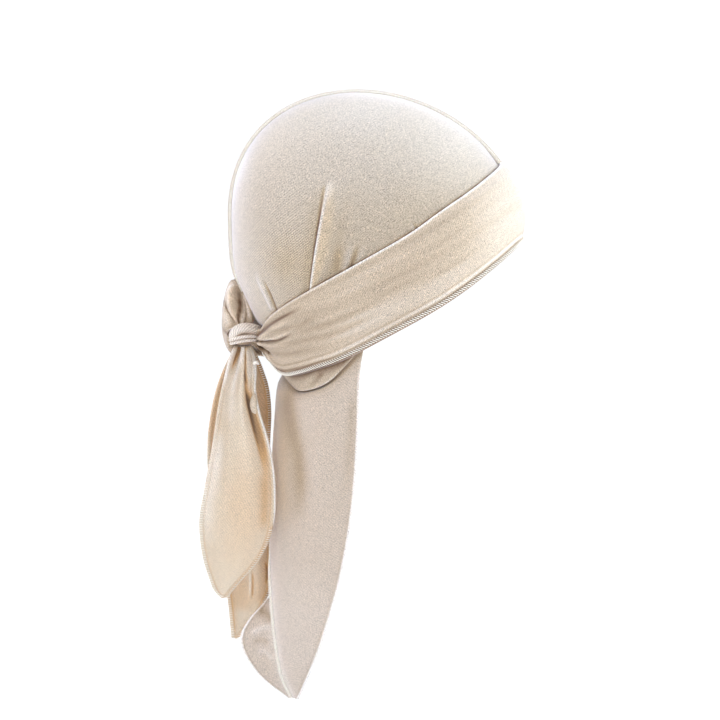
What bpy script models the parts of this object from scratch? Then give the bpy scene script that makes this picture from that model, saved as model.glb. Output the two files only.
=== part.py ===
"""A durag in its worn form: crown panels, straps wound round the head, a knot, two tails and a neck cape.

Sizes are in millimetres until a mesh is made, and in metres after that. +X points to the brow, +Y to the
wearer's left, +Z up. The origin is the highest point of the head that the crown sits on.
"""

import math
from collections import namedtuple

import bmesh
import bpy
from mathutils import Vector

MM = 0.001
WELD = 0.01 * MM

# Cloth
CROWN_CLOTH = 1.2
CAPE_CLOTH = 1.2
TAIL_CLOTH = 1.2
UNDER_CLOTH = 1.5
WRAP_CLOTH = 2.0
GAP = 0.3
STRAP_GAP = 0.45

# The head form that the crown and straps lie on. It is an egg, tilted so that its rings lie parallel to
# the brow band: "ahead" runs along the tilted ring to the brow, "up" is square to it.
TILT = math.radians(28.5)
HALF_LENGTH = 93.0
HALF_WIDTH = 73.0
DOME_HEIGHT = 112.5
NAPE_DEPTH = 171.0
BROW_DEPTH = 73.0
BROW_TAPER = 1.5
WIDEST = -96.8
MIDDLE = -40.3
LEAN_ABOVE = 8.25e-4
LEAN_BELOW = 3.75e-3
EGG = 0.08
ROUNDNESS = 2 / 2.2
SIDE_FULLNESS = 0.8

# Crown
RIM = -124.0
FOLD_END = -100.0
FOLD_FOOT = -93.0
DOME_ROWS = 10
CROWN_STEP = 7.5
PLEAT_LEAN = 27.5
PLEAT_SPREAD = 36.0
LIP_WIDTH = 1.4
LIP_EDGE = 0.01
PLEAT_TURN = 121.5
PLEAT_TOP = -38.0

# A fold in the crown: where its lip is at the band and at its top, its height, and how far it runs there
Fold = namedtuple("Fold", "foot_turn top_turn top_up lip run top_run")
FOLDS = (
    Fold(foot_turn=PLEAT_TURN, top_turn=PLEAT_TURN - PLEAT_LEAN, top_up=PLEAT_TOP,
         lip=2.5, run=17.0, top_run=6.0),
)

# Seams: a strip of two joined edges that stands proud of the cloth
SEAM_WIDTH = 1.5
SEAM_PROUD = 2.7
SEAM_HALF_ROOM = SEAM_WIDTH / 2 + GAP
SEAM_ROOT = 0.1

# The strap's first pass, round the nape: its edges above the origin's ring at each turn from the brow
Band = namedtuple("Band", "turn low high stand")
UNDER = (
    Band(turn=0, low=-126.0, high=-91.0, stand=0.0),
    Band(turn=60, low=-132.0, high=-98.0, stand=0.0),
    Band(turn=90, low=-136.0, high=-101.0, stand=0.0),
    Band(turn=108, low=-138.5, high=-102.0, stand=0.0),
    Band(turn=119, low=-144.4, high=-102.5, stand=0.0),
    Band(turn=130, low=-149.0, high=-103.0, stand=0.0),
    Band(turn=142, low=-149.0, high=-103.5, stand=0.0),
    Band(turn=155, low=-146.0, high=-104.0, stand=0.0),
    Band(turn=166, low=-138.0, high=-105.0, stand=0.0),
    Band(turn=180, low=-131.0, high=-106.0, stand=0.0),
)
UNDER_OFF = CROWN_CLOTH + STRAP_GAP
UNDER_STATIONS = 56
UNDER_ROWS = 4

# The strap's last pass, round the brow: the stand is how far it has left the head on its way to the knot
WRAP = (
    Band(turn=0, low=-130.8, high=-82.0, stand=0.0),
    Band(turn=27, low=-131.3, high=-84.0, stand=0.0),
    Band(turn=47, low=-134.5, high=-86.5, stand=0.0),
    Band(turn=65, low=-138.0, high=-88.6, stand=0.0),
    Band(turn=80, low=-140.0, high=-91.3, stand=0.0),
    Band(turn=100, low=-140.2, high=-92.2, stand=0.0),
    Band(turn=121, low=-139.8, high=-92.9, stand=0.0),
    Band(turn=134, low=-137.6, high=-93.6, stand=0.0),
    Band(turn=147, low=-135.8, high=-95.2, stand=0.1),
    Band(turn=157, low=-133.5, high=-97.5, stand=0.8),
    Band(turn=164, low=-128.5, high=-99.8, stand=1.8),
    Band(turn=169, low=-119.0, high=-101.0, stand=2.8),
    Band(turn=172, low=-109.5, high=-101.6, stand=3.3),
)
WRAP_OFF = UNDER_OFF + UNDER_CLOTH + STRAP_GAP
WRAP_STEP = 5.8
WRAP_ROWS = 8
WRAP_END = 168.0
WRAP_TUCK = 2.0
TUCK_START = 0.85
WRAP_OVER_FOLD = 1.0
FOLD_BUMP = 15.0
LEFT_HUG = 128.0
LEFT_LOOSE = 30.0
PLEATS_START = 146.0
PLEATS_FULL = 166.0
KNOT_PLEATS = 3
KNOT_PLEAT_HEIGHT = 1.6

# The strap's left end: behind the head it stands off as an open scoop. Its rim, seen from the right side
ScoopRow = namedtuple("ScoopRow", "share x z depth")
SCOOP = (
    ScoopRow(share=0.0, x=-90.6, z=-171.5, depth=0.0),
    ScoopRow(share=0.12, x=-94.0, z=-167.5, depth=0.0),
    ScoopRow(share=0.28, x=-96.6, z=-159.5, depth=3.0),
    ScoopRow(share=0.45, x=-97.2, z=-149.0, depth=-1.0),
    ScoopRow(share=0.6, x=-96.2, z=-138.5, depth=3.0),
    ScoopRow(share=0.75, x=-94.0, z=-129.0, depth=-2.0),
    ScoopRow(share=0.86, x=-91.2, z=-124.2, depth=5.0),
    ScoopRow(share=1.0, x=-86.2, z=-127.0, depth=0.0),
)
SCOOP_Y = 8.0
SCOOP_STATIONS = 8
SWEEP_STATIONS = 11
SWEEP_PULL = 74.0
SCOOP_PULL = 30.0

# The knot
KNOT = Vector((-84.7, -9.0, -158.6))
KNOT_HALF = Vector((9.4, 8.6, 7.6))
KNOT_SIDES = 18
KNOT_RINGS = 14
KNOT_GROOVE = 0.09
KNOT_GROOVE_WAVES = 1.3
KNOT_GROOVE_SHIFT = 0.4

# Where the strap's ends go into the knot: the angles on its side, from level at the front, and the side
Entry = namedtuple("Entry", "low high side clear")
RIGHT_ENTRY = Entry(low=-50.0, high=38.0, side=-10.0, clear=GAP)
LEFT_ENTRY = Entry(low=192.0, high=66.0, side=-8.5, clear=GAP + WRAP_CLOTH)

# The tails, from the knot down: how far each row is below the knot's centre, its rear and front edge, how
# near the camera's side it hangs, how deep its folds are and how far its front edge curls out
Tail = namedtuple("Tail", "drop rear front side fold curl")
TAIL_RIGHT = (
    Tail(drop=7.95, rear=-90.4, front=-79.2, side=-10.7, fold=1.4, curl=0.0),
    Tail(drop=14, rear=-92.8, front=-77.0, side=-13.2, fold=2.4, curl=1.0),
    Tail(drop=24, rear=-95.3, front=-75.8, side=-16.0, fold=3.4, curl=2.4),
    Tail(drop=36, rear=-98.0, front=-74.6, side=-18.0, fold=3.4, curl=3.0),
    Tail(drop=50, rear=-100.6, front=-71.6, side=-19.5, fold=2.8, curl=3.0),
    Tail(drop=68, rear=-103.2, front=-66.4, side=-21.5, fold=2.6, curl=2.0),
    Tail(drop=84, rear=-106.0, front=-63.4, side=-23.0, fold=2.5, curl=1.0),
    Tail(drop=100, rear=-109.0, front=-62.4, side=-24.0, fold=2.4, curl=0.0),
    Tail(drop=120, rear=-112.4, front=-63.8, side=-24.0, fold=2.2, curl=0.0),
    Tail(drop=136, rear=-112.0, front=-67.6, side=-23.0, fold=1.9, curl=0.0),
    Tail(drop=150, rear=-109.6, front=-75.4, side=-22.0, fold=1.4, curl=0.0),
    Tail(drop=161, rear=-106.4, front=-84.8, side=-21.0, fold=0.8, curl=0.0),
    Tail(drop=169, rear=-103.4, front=-91.6, side=-20.2, fold=0.2, curl=0.0),
    Tail(drop=174, rear=-99.2, front=-95.2, side=-20.0, fold=0.0, curl=0.0),
)
TAIL_LEFT = (
    Tail(drop=7.85, rear=-90.2, front=-78.6, side=-7.2, fold=0.8, curl=0.0),
    Tail(drop=14, rear=-92.8, front=-75.6, side=-4.4, fold=1.4, curl=0.0),
    Tail(drop=24, rear=-97.6, front=-71.8, side=0.0, fold=2.0, curl=0.0),
    Tail(drop=36, rear=-102.0, front=-68.2, side=3.0, fold=2.2, curl=0.0),
    Tail(drop=52, rear=-105.8, front=-66.6, side=6.0, fold=2.2, curl=0.0),
    Tail(drop=72, rear=-108.4, front=-67.4, side=8.5, fold=2.2, curl=0.0),
    Tail(drop=100, rear=-108.0, front=-68.2, side=11.0, fold=2.0, curl=0.0),
    Tail(drop=125, rear=-104.4, front=-68.4, side=13.0, fold=1.8, curl=0.0),
    Tail(drop=150, rear=-100.0, front=-67.8, side=15.0, fold=1.5, curl=0.0),
    Tail(drop=172, rear=-96.8, front=-68.6, side=17.0, fold=1.2, curl=0.0),
    Tail(drop=190, rear=-94.8, front=-76.0, side=18.5, fold=0.6, curl=0.0),
    Tail(drop=207, rear=-93.4, front=-89.0, side=19.0, fold=0.0, curl=0.0),
)
TAIL_ROWS = 20
TAIL_COLUMNS = 10
TAIL_WAVES = 1.5
CURL_START = 0.5

# The cape: its middle line and its two outer hems, from the crown's rim down to the tip
Line = namedtuple("Line", "share x y z")
CAPE_MIDDLE = (
    Line(share=0.0, x=-58.9, y=0.0, z=-179.0),
    Line(share=0.06, x=-61.4, y=0.0, z=-190.0),
    Line(share=0.16, x=-62.8, y=0.0, z=-209.5),
    Line(share=0.28, x=-65.2, y=0.0, z=-237.0),
    Line(share=0.42, x=-66.2, y=0.0, z=-269.0),
    Line(share=0.56, x=-67.0, y=0.0, z=-301.0),
    Line(share=0.7, x=-65.6, y=-1.0, z=-333.0),
    Line(share=0.82, x=-63.0, y=-4.0, z=-361.0),
    Line(share=0.92, x=-58.6, y=-8.0, z=-386.0),
    Line(share=1.0, x=-51.5, y=-12.0, z=-401.0),
)
CAPE_RIGHT_HEM = (
    Line(share=0.0, x=-10.0, y=-68.4, z=-161.0),
    Line(share=0.08, x=-9.6, y=-67.0, z=-177.0),
    Line(share=0.24, x=-8.0, y=-64.0, z=-211.0),
    Line(share=0.44, x=-11.0, y=-58.0, z=-265.0),
    Line(share=0.6, x=-18.6, y=-51.0, z=-312.0),
    Line(share=0.78, x=-31.4, y=-38.0, z=-359.0),
    Line(share=0.92, x=-42.4, y=-24.0, z=-389.0),
    Line(share=1.0, x=-48.0, y=-17.0, z=-401.5),
)
CAPE_LEFT_HEM = (
    Line(share=0.0, x=-10.0, y=68.4, z=-161.0),
    Line(share=0.08, x=-9.6, y=67.0, z=-177.0),
    Line(share=0.24, x=-9.0, y=64.0, z=-211.0),
    Line(share=0.42, x=-18.0, y=56.0, z=-262.0),
    Line(share=0.56, x=-38.0, y=44.0, z=-300.0),
    Line(share=0.66, x=-57.0, y=29.0, z=-326.5),
    Line(share=0.73, x=-71.5, y=15.0, z=-341.0),
    Line(share=0.78, x=-81.6, y=8.0, z=-351.5),
    Line(share=0.83, x=-86.8, y=4.5, z=-362.0),
    Line(share=0.88, x=-84.6, y=1.5, z=-373.0),
    Line(share=0.94, x=-73.6, y=-3.5, z=-388.0),
    Line(share=1.0, x=-55.0, y=-9.0, z=-402.0),
)
CAPE_EDGE_TURN = 110.0
CAPE_BELOW = 2.4
CAPE_HUG_ROWS = 2
CAPE_ROWS = 20
CAPE_TOP_CLOSER = 1.15
CAPE_TIP_CLOSER = 0.4
CAPE_COLUMNS = 13
CAPE_FULL_TOP = 1.0
CAPE_FULL_TIP = 0.35
CAPE_SETTLE = 5
CAPE_SEAM_PROUD = 1.9

# Colours of the cloth, and how rough it looks
CROWN_COLOUR = (0.74, 0.69, 0.62)
STRAP_COLOUR = (0.78, 0.69, 0.57)
CAPE_COLOUR = (0.76, 0.68, 0.6)
SEAM_COLOUR = (0.86, 0.81, 0.73)
CLOTH_ROUGHNESS = 0.55


def clear_scene():
    for piece in list(bpy.data.objects):
        bpy.data.objects.remove(piece, do_unlink=True)


def cloth(name, colour):
    """A matt cloth with a soft sheen."""
    made = bpy.data.materials.new(name)
    made.use_nodes = True
    shader = made.node_tree.nodes["Principled BSDF"]
    shader.inputs["Base Color"].default_value = (*colour, 1.0)
    shader.inputs["Roughness"].default_value = CLOTH_ROUGHNESS
    shader.inputs["Metallic"].default_value = 0.0
    return made


def ease(low, high, value):
    """0 up to low, 1 from high, and a smooth step between them."""
    part = min(1.0, max(0.0, (value - low) / (high - low)))
    return part * part * (3 - 2 * part)


def mix(a, b, part):
    return a + (b - a) * part


def read(rows, key, at, wanted):
    """The smooth curve through one column of a table, read where its key column has a value.

    A table of turns is level at both ends, where it meets its mirror image.
    """
    keys = [getattr(row, key) for row in rows]
    values = [getattr(row, wanted) for row in rows]
    last = len(rows) - 1
    at = min(max(at, keys[0]), keys[last])
    i = max(k for k in range(last) if keys[k] <= at)

    def slope(k):
        if key == "turn" and k in (0, last):
            return 0.0
        before, after = max(k - 1, 0), min(k + 1, last)
        return (values[after] - values[before]) / (keys[after] - keys[before])

    span = keys[i + 1] - keys[i]
    t = (at - keys[i]) / span
    return (
        (2 * t**3 - 3 * t**2 + 1) * values[i]
        + (t**3 - 2 * t**2 + t) * span * slope(i)
        + (3 * t**2 - 2 * t**3) * values[i + 1]
        + (t**3 - t**2) * span * slope(i + 1)
    )


def from_rim(ahead, side, up):
    """A point in the tilted rim's frame, in the world's frame."""
    return Vector((
        ahead * math.cos(TILT) - up * math.sin(TILT),
        side,
        ahead * math.sin(TILT) + up * math.cos(TILT),
    ))


def rounded(value):
    """A cosine or sine, bent so that the rings are a little squarer than ellipses."""
    return math.copysign(abs(value) ** ROUNDNESS, value)


def form_point(turn, up, off):
    """A point on the head form, turn degrees from the brow to the wearer's left and off mm outside it."""
    front, left = math.cos(math.radians(turn)), math.sin(math.radians(turn))
    semi = DOME_HEIGHT
    if up < WIDEST:
        semi = mix(NAPE_DEPTH, BROW_DEPTH, max(front, 0.0) ** BROW_TAPER)
    part = min(1.0, (up - WIDEST) / semi)
    rise = part * (semi + off)
    spread = math.sqrt(max(0.0, 1 - part * part))
    middle = MIDDLE - (LEAN_ABOVE if rise > 0 else LEAN_BELOW) * rise * rise
    ahead = middle + spread * (HALF_LENGTH + off) * rounded(front)
    side = spread**SIDE_FULLNESS * (HALF_WIDTH + off) * (1 - EGG * front) * rounded(left)
    return from_rim(ahead, side, WIDEST + rise)


def grid_normals(grid, ring=False):
    """The direction square to a grid of points at each of them, from its neighbours."""
    rows, columns = len(grid), len(grid[0])
    normals = []
    for r in range(rows):
        line = []
        for c in range(columns):
            if ring:
                along = grid[(r + 1) % rows][c] - grid[r - 1][c]
            else:
                along = grid[min(r + 1, rows - 1)][c] - grid[max(r - 1, 0)][c]
            across = grid[r][min(c + 1, columns - 1)] - grid[r][max(c - 1, 0)]
            line.append(along.cross(across).normalized())
        normals.append(line)
    return normals


def lined(grid, thickness, ring=False):
    """The grid that lies a thickness behind a grid of points."""
    normals = grid_normals(grid, ring)
    return [
        [point - normal * thickness for point, normal in zip(row, square)]
        for row, square in zip(grid, normals)
    ]


def wall(name, outer, inner, material, ring=False):
    """A closed solid between two grids of points."""
    made = bmesh.new()
    front = [[made.verts.new(p * MM) for p in row] for row in outer]
    back = [[made.verts.new(p * MM) for p in row] for row in inner]
    rows, columns = len(outer), len(outer[0])
    spans = [(r, (r + 1) % rows) for r in range(rows if ring else rows - 1)]
    for r, s in spans:
        for c in range(columns - 1):
            made.faces.new((front[r][c], front[s][c], front[s][c + 1], front[r][c + 1]))
            made.faces.new((back[r][c], back[r][c + 1], back[s][c + 1], back[s][c]))
        for c in (0, columns - 1):
            made.faces.new((front[r][c], back[r][c], back[s][c], front[s][c]))
    if not ring:
        for r in (0, rows - 1):
            for c in range(columns - 1):
                made.faces.new((front[r][c], front[r][c + 1], back[r][c + 1], back[r][c]))
    bmesh.ops.remove_doubles(made, verts=made.verts, dist=WELD)
    bmesh.ops.recalc_face_normals(made, faces=made.faces)
    return add(name, made, material)


def add(name, made, material):
    mesh = bpy.data.meshes.new(name)
    made.to_mesh(mesh)
    made.free()
    mesh.materials.append(material)
    mesh.shade_smooth()
    piece = bpy.data.objects.new(name, mesh)
    bpy.context.scene.collection.objects.link(piece)
    return piece


def mirrored(grid):
    return [[Vector((p.x, -p.y, p.z)) for p in row] for row in grid]


def fold_height(turn, up):
    """How far the crown's folds lift it. A lip stands at the back of each and runs out to the front."""
    lift = 0.0
    for fold in FOLDS:
        part = max(0.0, (up - FOLD_FOOT) / (fold.top_up - FOLD_FOOT))
        if part >= 1:
            continue
        lip_turn = mix(fold.foot_turn, fold.top_turn, part)
        ahead = (lip_turn - turn) / mix(fold.run, fold.top_run, part)
        if 0 <= ahead < 1:
            strength = min(1.0, (up - FOLD_END) / (FOLD_FOOT - FOLD_END)) * (1 - part * part)
            lift += fold.lip * max(strength, 0.0) * (1 - ahead)
    return lift


def crown_turns():
    """The crown's columns: even steps, with a close pair at the main pleat's lip."""
    steps = round(180 / CROWN_STEP)
    turns = [180 * k / steps for k in range(steps + 1)]
    turns = [t for t in turns if abs(t - PLEAT_TURN) > CROWN_STEP / 2]
    return sorted(turns + [PLEAT_TURN - LIP_EDGE, PLEAT_TURN + LIP_WIDTH])


def leaned(turn, up):
    """A column's turn at a height: the columns lean with the main pleat."""
    part = min(1.0, max(0.0, (up - FOLD_FOOT) / (PLEAT_TOP - FOLD_FOOT)))
    near = math.exp(-(((turn - PLEAT_TURN) / PLEAT_SPREAD) ** 2))
    square = math.sin(math.radians(turn)) / math.sin(math.radians(PLEAT_TURN))
    return turn - PLEAT_LEAN * part * near * square


def crown_heights():
    """The crown's rows from its rim to its top, with a row at each end of the folds' foot."""
    first = math.asin((FOLD_FOOT - WIDEST) / DOME_HEIGHT)
    domed = [
        WIDEST + DOME_HEIGHT * math.sin(mix(first, math.pi / 2, k / DOME_ROWS))
        for k in range(DOME_ROWS + 1)
    ]
    return [RIM, mix(RIM, FOLD_END, 0.5), FOLD_END] + domed


def crown_grid(off):
    """One side of the dome, on the wearer's left, with room for the seam at its middle."""
    grid = []
    for up in crown_heights():
        row = []
        for turn in crown_turns():
            bent = leaned(turn, up)
            point = form_point(bent, up, off + fold_height(bent, up))
            point.y = math.hypot(point.y, SEAM_HALF_ROOM)
            row.append(point)
        grid.append(row)
    return grid


def make_crown(material):
    outer, inner = crown_grid(CROWN_CLOTH), crown_grid(0.0)
    wall("crown_left", outer, inner, material)
    wall("crown_right", mirrored(outer), mirrored(inner), material)


def strip(name, roots, tops, material):
    """A seam's strip, SEAM_WIDTH across, from its roots to the tops that stand out from them."""
    half = Vector((0, SEAM_WIDTH / 2, 0))
    right = [[root - half, top - half] for root, top in zip(roots, tops)]
    left = [[root + half, top + half] for root, top in zip(roots, tops)]
    return wall(name, left, right, material)


def make_crown_seam(material):
    """The seam runs from the rim at the brow over the top to the rim at the nape, flat under the straps."""
    dome = [(0, up) for up in crown_heights()[:-1]] + [(180, up) for up in reversed(crown_heights())]
    front_top, back_top = WRAP[0].high, UNDER[-1].high
    path = []
    for turn, up in dome:
        path.append((turn, up))
        edge = front_top if turn == 0 else back_top
        for extra in (edge + GAP, edge + 3 * GAP):
            path.append((turn, extra))
    path = sorted(set(path), key=lambda p: (p[0], p[1] if p[0] == 0 else -p[1]))
    roots, tops = [], []
    for turn, up in path:
        edge = front_top if turn == 0 else back_top
        proud = SEAM_PROUD if up > edge + 2 * GAP else 0.0
        roots.append(form_point(turn, up, SEAM_ROOT))
        tops.append(form_point(turn, up, CROWN_CLOTH + proud))
    strip("crown_seam", roots, tops, material)


def band_point(rows, off, turn, across):
    """A point of a strap on the head, from its low edge (0) to its high one (1)."""
    around = abs(turn)
    low, high = read(rows, "turn", around, "low"), read(rows, "turn", around, "high")
    stand = read(rows, "turn", around, "stand")
    return form_point(turn, mix(low, high, across), off + stand)


def make_under_wrap(material):
    outer = []
    for k in range(UNDER_STATIONS):
        turn = 360 * k / UNDER_STATIONS - 180
        outer.append([
            band_point(UNDER, UNDER_OFF + UNDER_CLOTH, turn, c / UNDER_ROWS)
            for c in range(UNDER_ROWS + 1)
        ])
    inner = [
        [
            band_point(UNDER, UNDER_OFF, 360 * k / UNDER_STATIONS - 180, c / UNDER_ROWS)
            for c in range(UNDER_ROWS + 1)
        ]
        for k in range(UNDER_STATIONS)
    ]
    wall("under_wrap", outer, inner, material, ring=True)


def top_lift(turn, across):
    """The brow band's top edge tucks in to the crown, rises over the main fold and leaves for the scoop."""
    bump = math.exp(-(((abs(turn) - PLEAT_TURN + FOLD_BUMP / 2) / FOLD_BUMP) ** 2))
    tucked = mix(-WRAP_TUCK, WRAP_OVER_FOLD, bump)
    loose = ease(LEFT_HUG - LEFT_LOOSE, LEFT_HUG, turn)
    return mix(tucked, WRAP_OVER_FOLD, loose) * ease(TUCK_START, 1.0, across)


def hug_row(turn):
    """The brow band's outer face at a turn, with pleats near the knot."""
    row = []
    for c in range(WRAP_ROWS + 1):
        across = c / WRAP_ROWS
        wave = 0.5 - 0.5 * math.cos(2 * math.pi * KNOT_PLEATS * across)
        pleat = KNOT_PLEAT_HEIGHT * ease(PLEATS_START, PLEATS_FULL, -turn) * wave
        off = WRAP_OFF + WRAP_CLOTH + top_lift(turn, across) + pleat
        row.append(band_point(WRAP, off, turn, across))
    return row


def knot_entry(entry, across):
    """A point just outside the knot, where the strap goes in."""
    angle = math.radians(mix(entry.low, entry.high, across))
    reach = math.sqrt(1 - ((entry.side - KNOT.y) / KNOT_HALF.y) ** 2)
    return Vector((
        KNOT.x + (KNOT_HALF.x * reach + entry.clear) * math.cos(angle),
        entry.side,
        KNOT.z + (KNOT_HALF.z * reach + entry.clear) * math.sin(angle),
    ))


def scoop_point(across, closing):
    """The strap's left end behind the head. It closes from the open rim (0) to the knot (1)."""
    rim = Vector((
        read(SCOOP, "share", across, "x"),
        SCOOP_Y,
        read(SCOOP, "share", across, "z"),
    ))
    end = knot_entry(LEFT_ENTRY, across)
    quarter = closing * math.pi / 2
    point = mix(rim, end, 1 - math.cos(quarter))
    point.y = mix(SCOOP_Y, end.y, math.sin(quarter))
    point.y += read(SCOOP, "share", across, "depth") * math.sin(math.pi * closing) ** 2
    return point


def sweep_row(part):
    """The strap's left side between the head (0) and the open scoop's rim (1)."""
    row = []
    for c in range(WRAP_ROWS + 1):
        across = c / WRAP_ROWS
        off = WRAP_OFF + WRAP_CLOTH + top_lift(LEFT_HUG, across)
        start = band_point(WRAP, off, LEFT_HUG, across)
        lead = band_point(WRAP, off, LEFT_HUG + 1, across) - band_point(WRAP, off, LEFT_HUG - 1, across)
        end = scoop_point(across, 0.0)
        row.append(
            start * (2 * part**3 - 3 * part**2 + 1)
            + lead.normalized() * SWEEP_PULL * (part**3 - 2 * part**2 + part)
            + end * (3 * part**2 - 2 * part**3)
            + Vector((0, -SCOOP_PULL, 0)) * (part**3 - part**2)
        )
    return row


def make_forehead_wrap(material):
    """One strap from the knot's right side round the brow and the left side to the knot again."""
    count = round((WRAP_END + LEFT_HUG) / WRAP_STEP)
    first = hug_row(-WRAP_END)
    entry = [knot_entry(RIGHT_ENTRY, c / WRAP_ROWS) for c in range(WRAP_ROWS + 1)]
    outer = [entry, [mix(a, b, 0.5) for a, b in zip(entry, first)], first]
    outer += [hug_row(mix(-WRAP_END, LEFT_HUG, k / count)) for k in range(1, count + 1)]
    outer += [sweep_row(k / SWEEP_STATIONS) for k in range(1, SWEEP_STATIONS + 1)]
    outer += [
        [scoop_point(c / WRAP_ROWS, k / SCOOP_STATIONS) for c in range(WRAP_ROWS + 1)]
        for k in range(1, SCOOP_STATIONS + 1)
    ]
    wall("forehead_wrap", outer, lined(outer, WRAP_CLOTH), material)


def make_knot(material):
    """A round knot whose turns leave two grooves across it."""
    made = bmesh.new()
    bmesh.ops.create_uvsphere(made, u_segments=KNOT_SIDES, v_segments=KNOT_RINGS, radius=1.0)
    for vert in made.verts:
        wave = math.cos(vert.co.z * 2 * math.pi * KNOT_GROOVE_WAVES + KNOT_GROOVE_SHIFT)
        groove = 1 - KNOT_GROOVE * (0.5 + 0.5 * wave)
        spread = vert.co.copy()
        spread.x *= groove * KNOT_HALF.x
        spread.y *= groove * KNOT_HALF.y
        spread.z *= KNOT_HALF.z
        vert.co = (KNOT + spread) * MM
    bmesh.ops.recalc_face_normals(made, faces=made.faces)
    add("knot", made, material)


def tail_point(rows, share, across):
    """A point of a tail: share of the way down it, and across from its rear edge to its front one."""
    drop = mix(rows[0].drop, rows[-1].drop, share)
    rear, front = read(rows, "drop", drop, "rear"), read(rows, "drop", drop, "front")
    side, fold = read(rows, "drop", drop, "side"), read(rows, "drop", drop, "fold")
    wave = math.cos(2 * math.pi * TAIL_WAVES * across)
    curl = read(rows, "drop", drop, "curl") * math.sin(math.pi * ease(CURL_START, 1.0, across))
    return Vector((mix(rear, front, across), side - fold * wave + curl, KNOT.z - drop))


def make_tail(name, rows, material):
    """A strap's free end, pleated under the knot and spread out below."""
    outer = [
        [tail_point(rows, r / TAIL_ROWS, c / TAIL_COLUMNS) for c in range(TAIL_COLUMNS + 1)]
        for r in range(TAIL_ROWS + 1)
    ]
    wall(name, outer, lined(outer, TAIL_CLOTH), material)


def line_point(rows, share):
    return Vector([read(rows, "share", share, axis) for axis in "xyz"])


def hung_point(hem, side, share, across):
    """The cape's free part without its start: an arc from the seam to the hem, flatter at the tip."""
    start = line_point(CAPE_MIDDLE, share) + Vector((0, side * SEAM_HALF_ROOM, 0))
    end = line_point(hem, share)
    angle = across * math.pi / 2
    arc = Vector((
        mix(end.x, start.x, math.cos(angle)),
        mix(start.y, end.y, math.sin(angle)),
        mix(start.z, end.z, across),
    ))
    return mix(mix(start, end, across), arc, mix(CAPE_FULL_TOP, CAPE_FULL_TIP, share))


def under_strap_point(side, part, across, off):
    """The cape's top, which lies on the head from the crown's rim (0) to below the under wrap (1)."""
    turn = mix(180.0, CAPE_EDGE_TURN, across)
    up = mix(RIM - GAP, read(UNDER, "turn", turn, "low") - CAPE_BELOW, part)
    point = form_point(turn, up, off)
    point.y = side * math.hypot(point.y, SEAM_HALF_ROOM)
    return point


def cape_point(hem, side, share, across):
    """A point of a cape half's free part, which starts from the edge of the part on the head."""
    start = under_strap_point(side, 1.0, across, CAPE_CLOTH)
    settle = (1 - share) ** CAPE_SETTLE
    return hung_point(hem, side, share, across) + (start - hung_point(hem, side, 0, across)) * settle


def cape_share(part):
    """The cape's rows stand closer together at its top, and again in the curve of its tip."""
    return mix(part**CAPE_TOP_CLOSER, ease(0.0, 1.0, part), CAPE_TIP_CLOSER)


def cape_rows(hem, side, columns):
    """The grid of a cape half, from the crown's rim to its tip."""
    rows = [
        [under_strap_point(side, k / CAPE_HUG_ROWS, c / columns, CAPE_CLOTH) for c in range(columns + 1)]
        for k in range(CAPE_HUG_ROWS)
    ]
    rows += [
        [cape_point(hem, side, cape_share(k / CAPE_ROWS), c / columns) for c in range(columns + 1)]
        for k in range(CAPE_ROWS + 1)
    ]
    return rows


def make_cape_half(name, hem, side, material):
    outer = cape_rows(hem, side, CAPE_COLUMNS)
    inner = lined(outer, -side * CAPE_CLOTH)
    for back, front in zip(inner, outer):
        back[0].y = front[0].y
    wall(name, outer, inner, material)


def make_cape_seam(material):
    """The seam between the cape's halves, flat where the under wrap covers it."""
    middle = [row[0] for row in cape_rows(CAPE_RIGHT_HEM, -1, CAPE_COLUMNS)]
    tops = []
    for k, point in enumerate(middle):
        proud = CAPE_SEAM_PROUD if k > CAPE_HUG_ROWS else 0.0
        tops.append(Vector((point.x - proud, point.y + SEAM_HALF_ROOM, point.z)))
    roots = [Vector((top.x + CAPE_CLOTH, top.y, top.z)) for top in tops]
    roots = [
        root + Vector((CAPE_SEAM_PROUD if k > CAPE_HUG_ROWS else 0.0, 0, 0)) for k, root in enumerate(roots)
    ]
    strip("cape_seam", roots, tops, material)


def main():
    clear_scene()
    crown = cloth("crown_cloth", CROWN_COLOUR)
    strap = cloth("strap_cloth", STRAP_COLOUR)
    cape = cloth("cape_cloth", CAPE_COLOUR)
    seam = cloth("seam_thread", SEAM_COLOUR)
    make_crown(crown)
    make_crown_seam(seam)
    make_under_wrap(strap)
    make_forehead_wrap(strap)
    make_knot(strap)
    make_tail("tail_right", TAIL_RIGHT, strap)
    make_tail("tail_left", TAIL_LEFT, strap)
    make_cape_half("cape_right", CAPE_RIGHT_HEM, -1, cape)
    make_cape_half("cape_left", CAPE_LEFT_HEM, 1, cape)
    make_cape_seam(seam)


main()
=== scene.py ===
"""A durag in its worn form: pale champagne stretch cloth, wound, pleated and tied, in a bright plain studio.

Sizes are in millimetres until a mesh is made, and in metres after that. +X points to the brow, +Y to the
wearer's left, +Z up. The origin is the highest point of the head that the crown sits on. A turn is in degrees
from the brow to the wearer's left. A tone over 0 is shade and one under 0 is light.
"""

import math
from collections import namedtuple

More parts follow.
